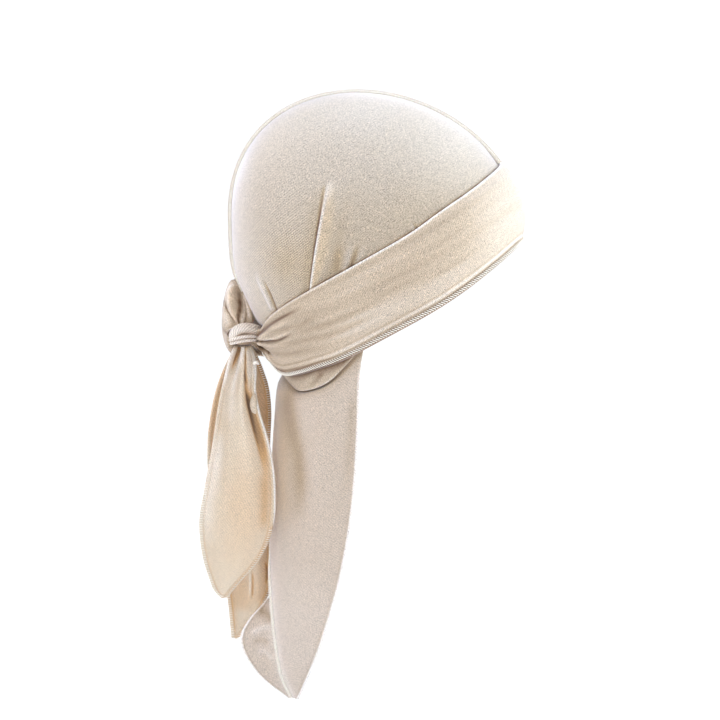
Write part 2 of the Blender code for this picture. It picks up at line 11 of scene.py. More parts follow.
import bmesh
import bpy
import numpy as np
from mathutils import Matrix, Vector


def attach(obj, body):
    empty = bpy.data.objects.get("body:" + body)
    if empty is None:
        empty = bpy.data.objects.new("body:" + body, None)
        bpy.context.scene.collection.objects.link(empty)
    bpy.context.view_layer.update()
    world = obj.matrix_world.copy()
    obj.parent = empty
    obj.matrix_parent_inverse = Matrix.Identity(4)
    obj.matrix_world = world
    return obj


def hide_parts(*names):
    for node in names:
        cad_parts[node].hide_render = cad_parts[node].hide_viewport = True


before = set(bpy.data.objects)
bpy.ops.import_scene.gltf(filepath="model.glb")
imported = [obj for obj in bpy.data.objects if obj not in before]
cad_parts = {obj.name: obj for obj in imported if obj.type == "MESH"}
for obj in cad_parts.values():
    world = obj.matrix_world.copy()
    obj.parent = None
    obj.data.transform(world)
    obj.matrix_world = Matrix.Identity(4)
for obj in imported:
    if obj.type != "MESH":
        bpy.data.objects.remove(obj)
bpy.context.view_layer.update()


def table(columns, *rows):
    """Rows under named columns. A column that a row leaves out at its end is 0."""
    named = namedtuple("Row", columns, defaults=[0.0] * len(columns.split()))
    return [named(*row) for row in rows]


MM = 0.001
SAME = 1e-6
TINY = 1e-9

# Cloth thicknesses and the gaps between layers
CROWN_CLOTH = 1.2
CAPE_CLOTH = 1.2
TAIL_CLOTH = 1.2
UNDER_CLOTH = 1.5
WRAP_CLOTH = 2.0
GAP = 0.3
STRAP_GAP = 0.45

# The head form, an egg tilted so that its rings lie parallel to the brow band
TILT = math.radians(28.5)
HALF_LENGTH = 93.0
HALF_WIDTH = 73.0
DOME_HEIGHT = 112.5
NAPE_DEPTH = 171.0
BROW_DEPTH = 73.0
BROW_TAPER = 1.5
WIDEST = -96.8
MIDDLE = -40.3
LEAN_ABOVE = 8.25e-4
LEAN_BELOW = 3.75e-3
EGG = 0.08
ROUNDNESS = 2 / 2.2
SIDE_FULLNESS = 0.8

# Crown
RIM = -124.0
FOLD_END = -100.0
FOLD_FOOT = -93.0
PLEAT_LEAN = 27.5
PLEAT_SPREAD = 36.0
PLEAT_TURN = 121.5
PLEAT_TOP = -38.0
PLEAT_LIP = 2.5
PLEAT_RUN = 17.0
PLEAT_TOP_RUN = 6.0
PLEAT_SLOPE = 1.3
PLEAT_INSIDE = (0.3, -0.9)
CROWN_RISE = 0.8
CROWN_RISE_UP = (-85.0, -60.0)
# The slack behind, just above the knot: how far it stands off, and where it comes and goes
CROWN_SLACK = 3.0
SLACK_TURN = (150.0, 174.0)
SLACK_FOOT = (-104.0, -95.0)
SLACK_TOP = (-30.0, -66.0)
# The crown's grid: columns in degrees, closer at the main pleat's lip and at the small pleat, and rows
COLUMN_STEP = 1.2
SMALL_PLEAT = (138.0, 153.0)
SMALL_PLEAT_STEP = 0.45
SMALL_PLEAT_ROOM = 0.4
LIP_ROOM = 3.0
LIP_ENDS = (-2.6, 2.9)
DOME_ROWS = 130
FOOT_ROWS = 16
# Unevenness: its height, and how long and wide its swells are
CROWN_SWELL = (0.25, 34.0, 26.0)
CROWN_SWELL_UP = (-95.0, -85.0)
CROWN_SWELL_TOP = (16.0, 6.0)

CROWN_KEPT = (0.0, 1.0, 0.0)

# Tones: a stripe is at a distance, a fade runs from one distance to another, and a spot lies in the side view
STRIPE = "at wide tone"
FADE = "start end tone"
SPOT = "x z long high tone"
LIP_STRIPES = table(STRIPE, (1.7, 0.6, 1.3), (0.1, 0.55, -0.8))
LIP_BACK = table(STRIPE, (3.5, 3.5, 0.22))
LIP_BACK_START = 1.0
LIP_FRONT = table(STRIPE, (-9.0, 3.5, 0.2))
BAND_SHADOW = table(STRIPE, (0.3, 0.95, 1.5), (0.0, 20.0, 0.14))
CROWN_SPOTS = table(
    SPOT,
    (-54, -108, 13, 17, 0.32),
    (-24, -86, 24, 26, 0.13),
    (18, -76, 28, 22, 0.12),
)
CROWN_REAR = table(FADE, (-70.0, -92.0, -0.24))
CROWN_BROW = (15.0, 60.0)
CROWN_HIGH = table(FADE, (-75.0, -35.0, -0.12))
# The part of the crown where the knit shows, and the thin cloth of the main pleat's front that light warms
KNIT_SPOT = table(SPOT, (-50.0, -104.0, 34.0, 30.0, 1.0))
LIP_WARMTH = 0.6
LIP_WARM_FROM = (0.0, -0.8)
LIP_WARM_WIDE = (1.6, 3.6)
LIP_WARM_TAPER = 0.8
LIP_WARM_ENDS = (0.5, 1.5)

# The main pleat's rolled edge: columns behind the lip, how far each is shifted back, and its height's share
PLEAT_ROLL = table(
    "behind shift height",
    (-1.8, 0, 1.02),
    (-1.1, 0.1, 1.1),
    (-0.5, 0.2, 1.12),
    (0, 0.45, 1.04),
    (0.3, 0.75, 0.9),
    (0.6, 0.75, 0.68),
    (0.9, 0.35, 0.42),
    (1.2, -0.3, 0.2),
    (1.5, -0.6, 0.03),
    (1.8, -0.35, -0.08),
    (2.3, 0, -0.05),
)

# Seams
SEAM_WIDTH = 1.5
SEAM_PROUD = 2.7
SEAM_HALF_ROOM = SEAM_WIDTH / 2 + GAP
SEAM_ROOT = 0.1
SEAM_ROWS = 150
SEAM_LOW_REAR = 0.3
SEAM_REAR_UP = (-92.0, -55.0)
SEAM_PROFILE = ((-0.5, 0.0), (-0.5, 0.72), (-0.36, 0.93), (0.0, 1.0), (0.36, 0.93), (0.5, 0.72), (0.5, 0.0))
SEAM_INSIDE = 0.1

# The two strap passes: their low and high edges round the head, and how far they stand off
BAND = "turn low high stand"
UNDER = table(
    BAND,
    (0, -126, -91),
    (60, -132, -98),
    (90, -136, -101),
    (108, -138.5, -102),
    (119, -144.4, -102.5),
    (130, -149, -103),
    (142, -149, -103.5),
    (155, -146, -104),
    (166, -138, -105),
    (180, -131, -106),
)
UNDER_OFF = CROWN_CLOTH + STRAP_GAP
WRAP = table(
    BAND,
    (0, -130.8, -82),
    (27, -131.3, -84),
    (47, -134.5, -86.5),
    (65, -138, -88.6),
    (80, -140, -91.3),
    (100, -140.2, -92.2),
    (121, -139.8, -92.9),
    (134, -137.6, -93.6),
    (147, -135.8, -95.2, 0.1),
    (157, -133.5, -97.5, 0.8),
    (164, -128.5, -99.8, 1.8),
    (169, -119, -101, 2.8),
    (172, -109.5, -101.6, 3.3),
)
WRAP_OFF = UNDER_OFF + UNDER_CLOTH + STRAP_GAP
# Where the last strap pass leaves the head on the right and on the left, and how its top edge lies
WRAP_END = 168.0
WRAP_TUCK = 2.0
TUCK_START = 0.85
WRAP_OVER_FOLD = 1.0
FOLD_BUMP = 15.0
LEFT_HUG = 128.0
LEFT_LOOSE = 30.0
PLEATS_START = 146.0
PLEATS_FULL = 166.0
KNOT_PLEATS = 3
KNOT_PLEAT_HEIGHT = 1.6

# The scoop that the strap's left end makes behind the head: its open rim, across the strap
SCOOP = table(
    "share x z depth",
    (0, -90.6, -171.5),
    (0.12, -94, -167.5),
    (0.28, -96.6, -159.5, 3),
    (0.45, -97.2, -149, -1),
    (0.6, -96.2, -138.5, 3),
    (0.75, -94, -129, -2),
    (0.86, -91.2, -124.2, 5),
    (1, -86.2, -127),
)
SCOOP_Y = 8.0
SWEEP_PULL = 74.0
SCOOP_PULL = 30.0

# The knot's middle and half sizes, and the arcs round it where the strap's two ends go in
KNOT = np.array((-84.7, -9.0, -158.6))
KNOT_HALF = np.array((9.4, 8.6, 7.6))
Entry = namedtuple("Entry", "low high side clear")
RIGHT_ENTRY = Entry(low=-50.0, high=38.0, side=-10.0, clear=-1.5)
LEFT_ENTRY = Entry(low=192.0, high=42.0, side=-8.5, clear=-1.0)
SCOOP_LOBE = 3.8

# The tails, by drop below the knot's middle
TAIL = "drop rear front side fold curl"
TAIL_RIGHT = table(
    TAIL,
    (7.95, -90.4, -79.2, -10.7, 1.4),
    (14, -92.8, -76.6, -13.2, 2.4, 1),
    (24, -95.3, -76, -16, 3.4, 2.4),
    (36, -98, -76.4, -18, 3.4, 3),
    (50, -100.6, -73.8, -19.5, 2.8, 3),
    (68, -103.2, -68.4, -21.5, 2.6, 2),
    (84, -106, -64.9, -23, 2.5, 1),
    (100, -109, -63.4, -24, 2.4),
    (120, -112.4, -63.8, -24, 2.2),
    (136, -112, -67.6, -23, 1.9),
    (150, -109.6, -75.4, -22, 1.4),
    (161, -106.4, -84.8, -21, 0.8),
    (169, -103.4, -91.6, -20.2, 0.2),
    (174, -99.2, -95.2, -20),
)
TAIL_LEFT = table(
    TAIL,
    (7.85, -90.2, -78.6, -7.2, 0.8),
    (14, -92.8, -75.6, -4.4, 1.4),
    (24, -97.6, -71.8, 0, 2),
    (36, -102, -68.2, 3, 2.2),
    (52, -105.8, -66.6, 6, 2.2),
    (72, -108.4, -67.4, 8.5, 2.2),
    (100, -108, -68.2, 11, 2),
    (125, -104.4, -67.6, 13, 1.8),
    (150, -100, -66.4, 15, 1.5),
    (172, -96.8, -66.8, 17, 1.2),
    (190, -94.8, -76, 18.5, 0.6),
    (207, -93.4, -89, 19),
)
TAIL_WAVES = 1.5
# The right tail's front edge: a rolled cord at first, and stitch teeth from further down
CORD = (12.0, 128.0)
CORD_WIDE, CORD_DEEP = 0.95, 1.05
# The curl at its top, and the small lap where it turns over: half width, half depth, tone, roundness, path
CORD_ENDS = table(
    "name wide deep tone blunt path",
    ("curl", 1.05, 1.1, -0.8, 8, ((-77, -15.6, -177.6), (-76.2, -17, -176.2), (-74.8, -17.4, -176.2),
      (-73.8, -16.6, -177.4))),
    ("flip", 2.3, 1.3, 0, 2, ((-76.4, -15.4, -197), (-77.2, -16.4, -201.5), (-77.3, -16.8, -206),
      (-75.8, -16.2, -211.5))),
)
TEETH_IN = 1.1
# How far down each tail's stitches start, at its rear edge and at its front one
TEETH_RIGHT = (98.0, 128.0)
TEETH_LEFT = (165.0, 14.0)

# The cape's middle seam and its two hems, by share of their length
LINE = "share x y z"
CAPE_MIDDLE = table(
    LINE,
    (0, -58.9, 0, -179),
    (0.06, -62.6, 0, -190),
    (0.16, -63.8, 0, -209.5),
    (0.28, -65.2, 0, -237),
    (0.42, -66.2, 0, -269),
    (0.56, -67, 0, -301),
    (0.7, -65.6, -1, -333),
    (0.82, -63, -4, -361),
    (0.92, -58.6, -8, -386),
    (1, -51.5, -12, -401),
)
CAPE_RIGHT_HEM = table(
    LINE,
    (0, -10, -68.4, -161),
    (0.08, -9.6, -67, -177),
    (0.24, -8, -64, -211),
    (0.44, -11, -58, -265),
    (0.6, -18.6, -51, -312),
    (0.78, -31.4, -38, -359),
    (0.92, -42.4, -24, -389),
    (1, -48, -17, -401.5),
)
CAPE_LEFT_HEM = table(
    LINE,
    (0, -10, 68.4, -161),
    (0.08, -9.6, 67, -177),
    (0.24, -9, 64, -211),
    (0.42, -18, 56, -262),
    (0.56, -38, 44, -300),
    (0.66, -57, 29, -326.5),
    (0.73, -71.5, 15, -341),
    (0.78, -81.6, 8, -351.5),
    (0.83, -86.8, 4.5, -362),
    (0.88, -84.6, 1.5, -373),
    (0.94, -73.6, -3.5, -388),
    (1, -55, -9, -402),
)
CAPE_EDGE_TURN = 110.0
CAPE_BELOW = 2.4
CAPE_FULL_TOP = 1.0
CAPE_FULL_TIP = 0.35
CAPE_SETTLE = 8
CAPE_TOP_CLOSER = 1.15
CAPE_TIP_CLOSER = 0.4
CAPE_SEAM_PROUD = 1.9
CAPE_SEAM_SHOWS = 150.0

# Folds, pleats and creases of the cloth, as lines in the side view: x and z in millimetres. A high over 0
# is a ridge and one under 0 is a crease. start and end are the shares of the line over which it rises and
# fades. A warmth over 0 is where thin cloth lets warm light through.
CREASE = "high wide start end tone path warmth"
CROWN_CREASES = table(
    CREASE,
    # the small pleat in front of the knot, with the crease along its front
    (1.3, 1.6, 0.35, 0.02, -0.35, ((-73.8, -112), (-72, -118.5), (-70, -124.4), (-67.4, -130.3),
      (-62.8, -140))),
    (-1.2, 0.75, 0.45, 0.02, 0.8, ((-69.8, -118), (-66.9, -126.2), (-64.3, -132.1), (-60.7, -141))),
    # the main pleat's upper end
    (0.7, 2, 0.35, 0.5, -0.3, ((-24.2, -54), (-24.9, -60), (-26, -66), (-27.6, -73))),
    # the short folds between the main pleat and the band's middle
    (-0.4, 3, 0.6, 0.02, 0.28, ((-19, -93), (-20.2, -103), (-21.4, -114))),
    (1, 1.9, 0.5, 0.02, -0.25, ((-12, -93), (-13.8, -103), (-16.6, -115))),
    (-1.1, 1.5, 0.5, 0.02, 0.65, ((-8, -95), (-10.8, -105), (-14.2, -115))),
    (0.6, 1.9, 0.5, 0.02, -0.15, ((-2.4, -95), (-5.4, -102), (-8.8, -110))),
    # a pucker over the ear
    (0.6, 1, 0.5, 0.02, -0.3, ((26, -82), (27.6, -86), (29.6, -91))),
    (-0.4, 0.7, 0.5, 0.02, 0.45, ((27.8, -81), (29.4, -85.4), (31.2, -90))),
)
BAND_CREASES = table(
    CREASE,
    (-1.3, 1.3, 0.05, 0.5, 0.95, ((-76.5, -160.5), (-71.5, -154.8), (-65, -149.2), (-57.5, -144.2),
      (-49, -139.4), (-39, -134.4))),
    (1, 1.4, 0.08, 0.5, -0.35, ((-76.8, -161.2), (-70, -157.2), (-63, -152.6), (-54, -147.2),
      (-46, -143.4))),
    (-1.6, 0.75, 0.05, 0.4, 1, ((-76.8, -162.2), (-67.2, -161.3), (-60.9, -160.1), (-55.2, -157.4),
      (-48.9, -153.1))),
    (1, 1.2, 0.1, 0.5, -0.45, ((-76.2, -161.8), (-67.2, -159.6), (-60.2, -157.7), (-52, -153),
      (-44, -147.2))),
    (1.1, 1.3, 0.08, 0.6, -0.5, ((-76.3, -163.6), (-67.2, -163.8), (-59, -163.2), (-50, -160.2))),
    (-1.6, 0.7, 0.1, 0.4, 1, ((-75.6, -164.4), (-71.8, -166.2), (-68.4, -168.6), (-63, -171.6))),
    (0.8, 0.9, 0.1, 0.4, -0.5, ((-75.4, -166.2), (-72.4, -169.4), (-68.4, -172.8), (-63, -175.4))),
    (-0.5, 1.8, 0.5, 0.5, 0.25, ((-50, -151.8), (-41, -146), (-31, -141.2))),
)
UNDER_CREASES = table(
    CREASE,
    (-0.8, 1.6, 0.3, 0.2, 0.45, ((-40.5, -191), (-36, -186), (-30, -179.5))),
    (0.6, 1.6, 0.3, 0.2, -0.2, ((-43.5, -188.5), (-39, -183.5), (-33.5, -178))),
)
# The knot's turns: a strand's middle line, its half width in the side view and its half depth
KNOT_STRANDS = table(
    "wide deep path",
    (4, 3.2, ((-90.4, -9, -162.4), (-90.2, -12.4, -158.6), (-87.2, -14.6, -155),
      (-82.6, -15.2, -153.7), (-78.2, -14.2, -154.2), (-74.6, -11.5, -155.4), (-71.5, -8, -156.5))),
    (1.35, 1.7, ((-92, -9, -162.2), (-92, -13, -161.4), (-88.6, -16.2, -160.2),
      (-83.4, -17.2, -159.1), (-79, -16.4, -158.8), (-75.8, -13.4, -159), (-74.6, -9, -159.4))),
    (1.3, 1.7, ((-91.6, -9, -164), (-91.4, -12.6, -163.5), (-88, -15.4, -162.6),
      (-83.2, -16.2, -161.6), (-79.2, -15.4, -161.3), (-76.2, -12.6, -161.4), (-75.2, -9, -161.6))),
)
SCOOP_CREASES = table(
    CREASE,
    (1.6, 1.3, 0.1, 0.05, -0.7, ((-91.4, -124), (-92.6, -129.5), (-93, -134.4), (-92, -141.1),
      (-89.6, -148.2), (-88, -153))),
    (-2.2, 0.8, 0.35, 0.12, 1.15, ((-89, -129), (-88.2, -134), (-87.2, -141.2), (-86.8, -146.8),
      (-86.8, -153))),
    (-0.8, 1.9, 0.25, 0.3, 0.15, ((-90.4, -127), (-90.4, -132), (-89.4, -138), (-88.4, -145))),
    (1.2, 1.1, 0.3, 0.05, -0.75, ((-86, -131), (-84.6, -138.2), (-84.6, -144.5), (-85.2, -152))),
    (0.8, 1.8, 0.2, 0.2, -0.75, ((-83.4, -130), (-81.8, -137), (-80.6, -144), (-80.2, -150))),
    (-0.8, 0.6, 0.3, 0.05, 0.7, ((-84.6, -133.5), (-83, -139.5), (-82.6, -145.9), (-83.6, -152))),
    (-1.6, 0.75, 0.15, 0.05, 1, ((-97, -134), (-95.1, -137.9), (-93.2, -144.1), (-91.1, -148.1),
      (-88, -153))),
    (0.8, 1.9, 0.3, 0.3, -0.6, ((-96, -142.5), (-94.4, -148.5), (-92.4, -154.5))),
    (-0.8, 0.8, 0.3, 0.1, 0.7, ((-96.6, -153), (-94, -157), (-91, -159.5))),
    # painted light on the strap's lower edge, seen below the knot, where it lies in shadow
    (0, 3.5, 0.1, 0.1, -0.8, ((-80, -163.5), (-76, -168), (-71.5, -173))),
    # painted warm light through the thin cloth inside the scoop
    (0, 2.4, 0.2, 0.1, 0, ((-91.4, -127), (-90.6, -134), (-89.4, -141), (-88, -150)), 1),
)
TAIL_RIGHT_CREASES = table(
    CREASE,
    (1.6, 1.7, 0.05, 0.6, -0.8, ((-83.2, -162), (-84.7, -171.8), (-87.5, -181.3), (-90.1, -190.8),
      (-92.8, -204))),
    (-1.5, 0.9, 0.1, 0.5, 0.9, ((-86, -163), (-86.9, -168), (-89.2, -175.6), (-92.3, -184))),
    (0.8, 1.5, 0.1, 0.5, -0.6, ((-89.6, -166), (-92.2, -172), (-94.8, -182), (-97, -196))),
    (-1.7, 1.1, 0.05, 0.4, 0.6, ((-82.6, -163), (-82.3, -176), (-81.8, -189), (-80.8, -200),
      (-79, -210), (-76.4, -220), (-73.8, -230), (-71.4, -241), (-69.4, -252))),
    (0, 2.5, 0.15, 0.5, 0.75, ((-81.2, -192), (-79.6, -203), (-76.6, -213), (-73.6, -223),
      (-71, -233), (-69.2, -245), (-68, -259))),
    (0, 4, 0.3, 0.3, 0.3, ((-70.5, -245), (-69.5, -265), (-70.5, -292))),
    (0, 0.8, 0.2, 0.2, 0.5, ((-82.6, -168), (-82.2, -180), (-81.2, -192))),
    (0, 1.5, 0.1, 0.3, -0.45, ((-80.6, -167), (-80, -180), (-78.8, -192))),
    (0, 16, 0.4, 0.5, 0.15, ((-80, -225), (-83, -270), (-88, -330)), 0.04),
    (0, 5, 0.3, 0.3, -0.35, ((-99, -212), (-103, -240), (-107.5, -275), (-108, -300))),
    (0, 6, 0.2, 0.4, -0.3, ((-94, -178), (-92, -200), (-90, -225))),
    (0.9, 1.5, 0.1, 0.3, -0.7, ((-78, -165), (-77, -178), (-76.4, -190))),
    (0.8, 3.2, 0.4, 0.5, -0.15, ((-97, -216), (-99.6, -243), (-102, -275))),
    # painted warm light through the thin cloth along the front edge
    (0, 2.4, 0.15, 0.4, 0, ((-81.6, -188), (-80.4, -202), (-77.4, -212), (-74.2, -222),
      (-71.6, -232), (-69.6, -244), (-68.4, -258), (-67.9, -274)), 0.35),
)
TAIL_LEFT_CREASES = table(
    CREASE,
    # the part that shows past the right tail's front edge
    (0, 9, 0.05, 0.2, 0.32, ((-70, -176), (-69.4, -190), (-68.2, -208), (-66.8, -226)), 0.2),
    # the part that shows past its rear edge
    (0, 7, 0.1, 0.3, 0.12, ((-96, -178), (-101, -196), (-105, -215), (-106, -240)), 0.25),
    # its lower end
    (1, 0.9, 0.3, 0.3, -0.5, ((-81, -318), (-80.6, -328), (-81, -338))),
    (-0.6, 0.8, 0.3, 0.3, 0.5, ((-79.6, -318), (-79.2, -328), (-79.6, -340))),
    (0, 5, 0.1, 0.2, 0.3, ((-66, -300), (-68, -318), (-69.4, -334), (-76, -346))),
    (-0.8, 0.7, 0.3, 0.3, 0.6, ((-70.6, -312), (-69.2, -320), (-70, -330))),
    (0, 3, 0.1, 0.1, 0.2, ((-98, -310), (-93.4, -340), (-92, -362))),
    (0, 9, 0.1, 0.2, 0.2, ((-90, -312), (-86, -330), (-88, -350))),
    (0, 7, 0.1, 0.2, 0, ((-95, -318), (-84, -338), (-72, -325), (-70, -300)), 0.15),
)
CAPE_RIGHT_CREASES = table(
    CREASE,
    (-0.9, 6, 0.1, 0.4, 0.5, ((-56, -190), (-52.5, -212), (-48, -236), (-47, -262), (-52, -290))),
    (0, 8, 0.1, 0.4, 0.33, ((-60, -195), (-60, -240), (-61, -280), (-62.3, -305))),
    (0.9, 6, 0.3, 0.6, 0, ((-30, -178), (-33, -230), (-40, -300))),
    (-0.5, 3, 0.2, 0.5, 0.2, ((-12, -190), (-13.5, -230), (-17, -270))),
    # painted warm light through the thin cloth beside the seam
    (0, 6.5, 0.1, 0.3, 0, ((-60, -190), (-60.5, -235), (-61.5, -290)), 1),
)
CAPE_LEFT_CREASES = table(
    CREASE,
    (-1.4, 3.2, 0.2, 0.2, 0.5, ((-76, -345), (-70, -346.5), (-65, -352))),
    (1.2, 2, 0.3, 0.3, -0.3, ((-82, -360), (-76, -358), (-70, -355.5), (-65, -356))),
    (-0.8, 1.6, 0.3, 0.3, 0.25, ((-80, -366), (-73, -364), (-66, -366))),
    (0.8, 2, 0.3, 0.3, -0.2, ((-76.7, -374), (-70, -371), (-64, -378))),
)

TONE_WIDTH = 0.9

# A hem: where its rise ends round its width, and the crease that its stitches make
HEM_STEP = (0.5, -0.3)
STITCH_AT = 0.4
STITCH_WIDE = 0.5

# Finish of the first strap pass, and the shade and light painted on it
UNDER_GRID = (361, 26)
UNDER_ROUND = 504.0
UNDER_ACROSS = 36.0
UNDER_SWELL = (0.18, 30.0, 7.0)
UNDER_EDGE = (0.22, 1.2)
UNDER_TONE = 0.22
UNDER_SHADOW = table(FADE, (9.0, 0.0, 0.95), (2.4, 0.4, 0.7))
UNDER_REAR = (-45.0, -51.0)
UNDER_EDGE_TONES = (-0.5, 0.9)
UNDER_EDGE_WIDE = 0.9
STRAP_BULGE = 0.45

# Finish of the last strap pass, and the shade and light painted on it: the rows of its parts, and steps in
# degrees on the head
WRAP_ACROSS = 66
KNOT_ROWS = 16
SWEEP_ROWS = 80
SCOOP_ROWS = 34
FINE_TO = -120.0
FINE_STEP = 0.55
HUG_STEP = 0.9
SHOWN_ROWS = 200
SHOWN_SIDE = (6.0, -2.0)
# Counted in rows from the strap's end: where the scoop's folds come in, where the light painted on its back
# starts
SCOOP_FOLDS_IN = (96.0, 60.0)
SCOOP_BACK_IN = (34.0, 37.0)
SCOOP_BACK_X = (-90.0, -87.0)
SCOOP_BACK_TONE = -1.1
LOBE_ACROSS = (0.7, 1.0)
LOBE_LATE = 1.3
WRINKLES = ((0.9, 46.0, 3.4), (0.5, 60.0, 9.0))
WRINKLE_SLANT = 0.06
WRINKLE_START = (0.0, 14.0)
WRINKLE_END = (25.0, 60.0)
WRINKLE_LOW = (1.0, 7.0)
WRINKLE_HIGH = (1.0, 5.0)
WRINKLE_BROW = (45.0, 78.0)
WRINKLE_BROW_SHARE = 0.15
WRINKLE_LIFT = 0.48
WRINKLE_TONE = -0.32
FULL_WIDTH = 45.0
LEAST_NARROW = 0.15
WRAP_HEM = (3.0, 0.55)
WRAP_TOP_EDGE = (0.35, 2.2)
HEM_START = (0.0, 6.0)
HEM_END = (0.0, 20.0)
HEM_TONE_START = (0.0, 12.0)
HEM_TONE_END = (0.0, 60.0)
# Painted shade along the hem's two stitched lines with painted light between them, painted shade along the
# low edge, a painted highlight along the top edge, painted shade towards the rear and painted light towards
# the brow
HEM_STRIPES = table(STRIPE, (3.7, 0.45, 0.7), (7.4, 0.6, 0.4), (5.6, 1.1, -0.4))
HEM_EDGE = table(FADE, (3.0, 2.6, 0.85))
TOP_STRIPES = table(STRIPE, (0.2, 0.42, -0.8))
WRAP_REAR = table(FADE, (0.0, -50.0, 0.34))
WRAP_BROW = table(FADE, (50.0, 90.0, -0.14))
WRAP_KNIT = 0.35
# The rows of the last pass that have stitches along their hem
HEM_ROWS = slice(10, -40)

# Finish of the knot and its turns, and the shade and light painted on them
STRAND_SIDES = 49
STRAND_END = 0.05
STRAND_EDGE = 6
STRAND_PUCKER = (0.05, 3.2, 9.0)
STRAND_ROUND = 9.0
STRAND_LONG = 20.0
STRAND_LIGHT = (0.05, 0.7)
STRAND_CORE = 0.4
STRAND_KNIT = 0.7
STRAND_BLUNT = 8
TURN_TONE = 0.4
KNOT_PARTS = 12
CORD_PARTS = 8
CORE_GRID = (60, 91)
CORE_SHARE = np.array((0.97, 0.9, 0.88))
CORE_INSIDE = 0.5
CORE_CLOTH = (9.0, 8.0)
CORE_TONE = 0.6
CORE_KNIT = 0.9

# Finish of the tails, and the shade and light painted on them
TAIL_GRID = (190, 56)
TAIL_TIP_EDGE = (0.8, 0.4)
TAIL_SWELL = (0.35, 40.0, 8.0)
TAIL_HEM = (1.9, 0.3, 0.2)
TAIL_HEM_IN = (0.0, 8.0)
TAIL_TONE_IN = (0.0, 10.0)
TAIL_FOLD_EDGE = (0.0, 4.0)
# Painted shade along the hem's stitched crease, and under the stitch teeth near the edge
TAIL_STITCH = table(STRIPE, (2.5, 0.45, 0.2))
TAIL_TEETH_SHADE = table(FADE, (2.0, 1.4, 0.4))
REAR_TEETH_IN = (-8.0, 8.0)
FRONT_TEETH_IN = (-6.0, 4.0)
TAIL_BULGE = 0.4
TAIL_KEPT = (0.5, 1.0, 0.0)
LIT_CORD = -0.8

# Finish of the cape, and the shade and light painted on it
CAPE_ACROSS = 80
CAPE_TOP_ROWS = 14
CAPE_FREE_ROWS = 170
CAPE_FREE = (18.0, 60.0)
# Painted light towards the tip, painted shade along the hem's stitched crease and painted light along the
# hem's edge
CAPE_TIP = table(FADE, (-300.0, -345.0, -0.12))
CAPE_STITCH = table(STRIPE, (2.6, 0.45, 0.15))
CAPE_EDGE = table(FADE, (1.8, 1.0, -0.9))
# A painted shadow below the under wrap: its tone, how far below the wrap it fades and how sharply
CAPE_ROOT = (0.7, 5.0, 1.3)
CAPE_SEAM_LIGHT = table(STRIPE, (0.0, 5.0, -0.3))
CAPE_SWELLS = ((0.5, 15.0, 90.0), (0.15, 9.0, 30.0))
CAPE_FOLD_SEAM = (0.0, 5.0)
CAPE_FOLD_HEM = (0.0, 6.0)
CAPE_HEM = (2.0, 0.3, 0.15)
CAPE_HEM_IN = (20.0, 40.0)
CAPE_INNER_HEM = 0.4
CAPE_BULGE = 0.3
CAPE_KEPT = {-1: (0.35, 1.0, 0.0), 1: (1.0, 1.0, 0.0)}
CAPE_SEAM_FADE = 25.0
CAPE_SEAM_COVERED = 0.2

# Cloth marks, knit and thread
MARKS = ("tone", "knit", "warmth")
PLAIN_KNIT = 0.18
ALL_KEPT = (1.0, 1.0, 1.0)
WHITE = (1.0, 1.0, 1.0, 1.0)
BLACK = (0.0, 0.0, 0.0, 1.0)
# Colours that painted light (PALE) and painted shade (BROWN, then DEEP) go towards
PALE = (0.95, 0.9, 0.87)
BROWN = (0.21, 0.125, 0.07)
DEEP = (0.09, 0.04, 0.015)
KNIT_WIDTH = 2.0
KNIT_HEIGHT = 1.45
KNIT_SLANT = math.radians(38)
LOOP_OVER = 0.35
LOOP_POINTS = 9
THREAD_SIDES = 5
# The places of outputs that are read on their nodes
OBJECT_PLACE = 3
ATTRIBUTE_FACTOR = 2
VECTOR_LENGTH = 1

# Stitches in millimetres, with their slant in radians
STITCH = "Pitch Thread Width Height Slant"
LOOP_SIZES = STITCH.split()
CROWN_STITCHES, BAND_STITCHES, TAIL_STITCHES, CAPE_STITCHES = table(
    STITCH,
    (1.35, 0.22, 1.9, 0.35, 0.35),
    (1.8, 0.34, 2.8, 0.55, 0.75),
    (1.6, 0.27, 2.7, 1.7, 0.35),
    (1.45, 0.22, 1.9, 0.35, 0.35),
)

# Studio, in metres
FLOOR = -0.46
STAGE_FLAT = 2.6
STAGE_HIGH = 4.0
STAGE_SIDES = 48
STAGE_BENDS = 13
STAGE_GREY = (0.74, 0.74, 0.74, 1.0)
STAGE_GLOW = 0.45
STAGE_DIM = 0.48
STAGE_BRIGHT = 0.54
WORLD_COLOUR = WHITE
WORLD_LIGHT = 0.0
LAMPS = table(
    "name place power colour",
    ("top", (0, 0, 1.55), 27, (0.68, 0.82, 1)),
    ("rear_top", (-1.1, 0, 1.1), 8, (0.96, 0.87, 0.88)),
    ("brow", (1.55, 0, 0.1), 17, (0.86, 0.96, 1)),
    ("right_high", (0, -1.1, 1.1), 1.5, (1, 0.95, 0.9)),
    ("left_high", (0, 1.1, 1.1), 1.5, (1, 0.95, 0.9)),
)
LAMP_AIM = (-0.02, 0.0, -0.12)
LAMP_SIZE = 0.7
CAMERA_AIM = (-0.0067, 0.0, -0.1758)
CAMERA_ELEVATION = 4.0
CAMERA_DISTANCE = 2.2
CAMERA_LENS = 165.0
CAMERA_SENSOR = 36.0
CAMERA_REACH = 50.0


def ease(low, high, value):
    """0 up to low, 1 from high, and a smooth step between them. low may be the greater one."""
    part = np.clip((value - low) / (high - low), 0.0, 1.0)
    return part * part * (3 - 2 * part)


def mix(a, b, part):
    return a + (b - a) * part


def bell(value, middle, width):
    """1 at the middle, and soon 0 beyond the width."""
    return np.exp(-(((value - middle) / width) ** 2))


def stripes(value, rows):
    return sum(row.tone * bell(value, row.at, row.wide) for row in rows)


def fades(value, rows):
    return sum(row.tone * ease(row.start, row.end, value) for row in rows)


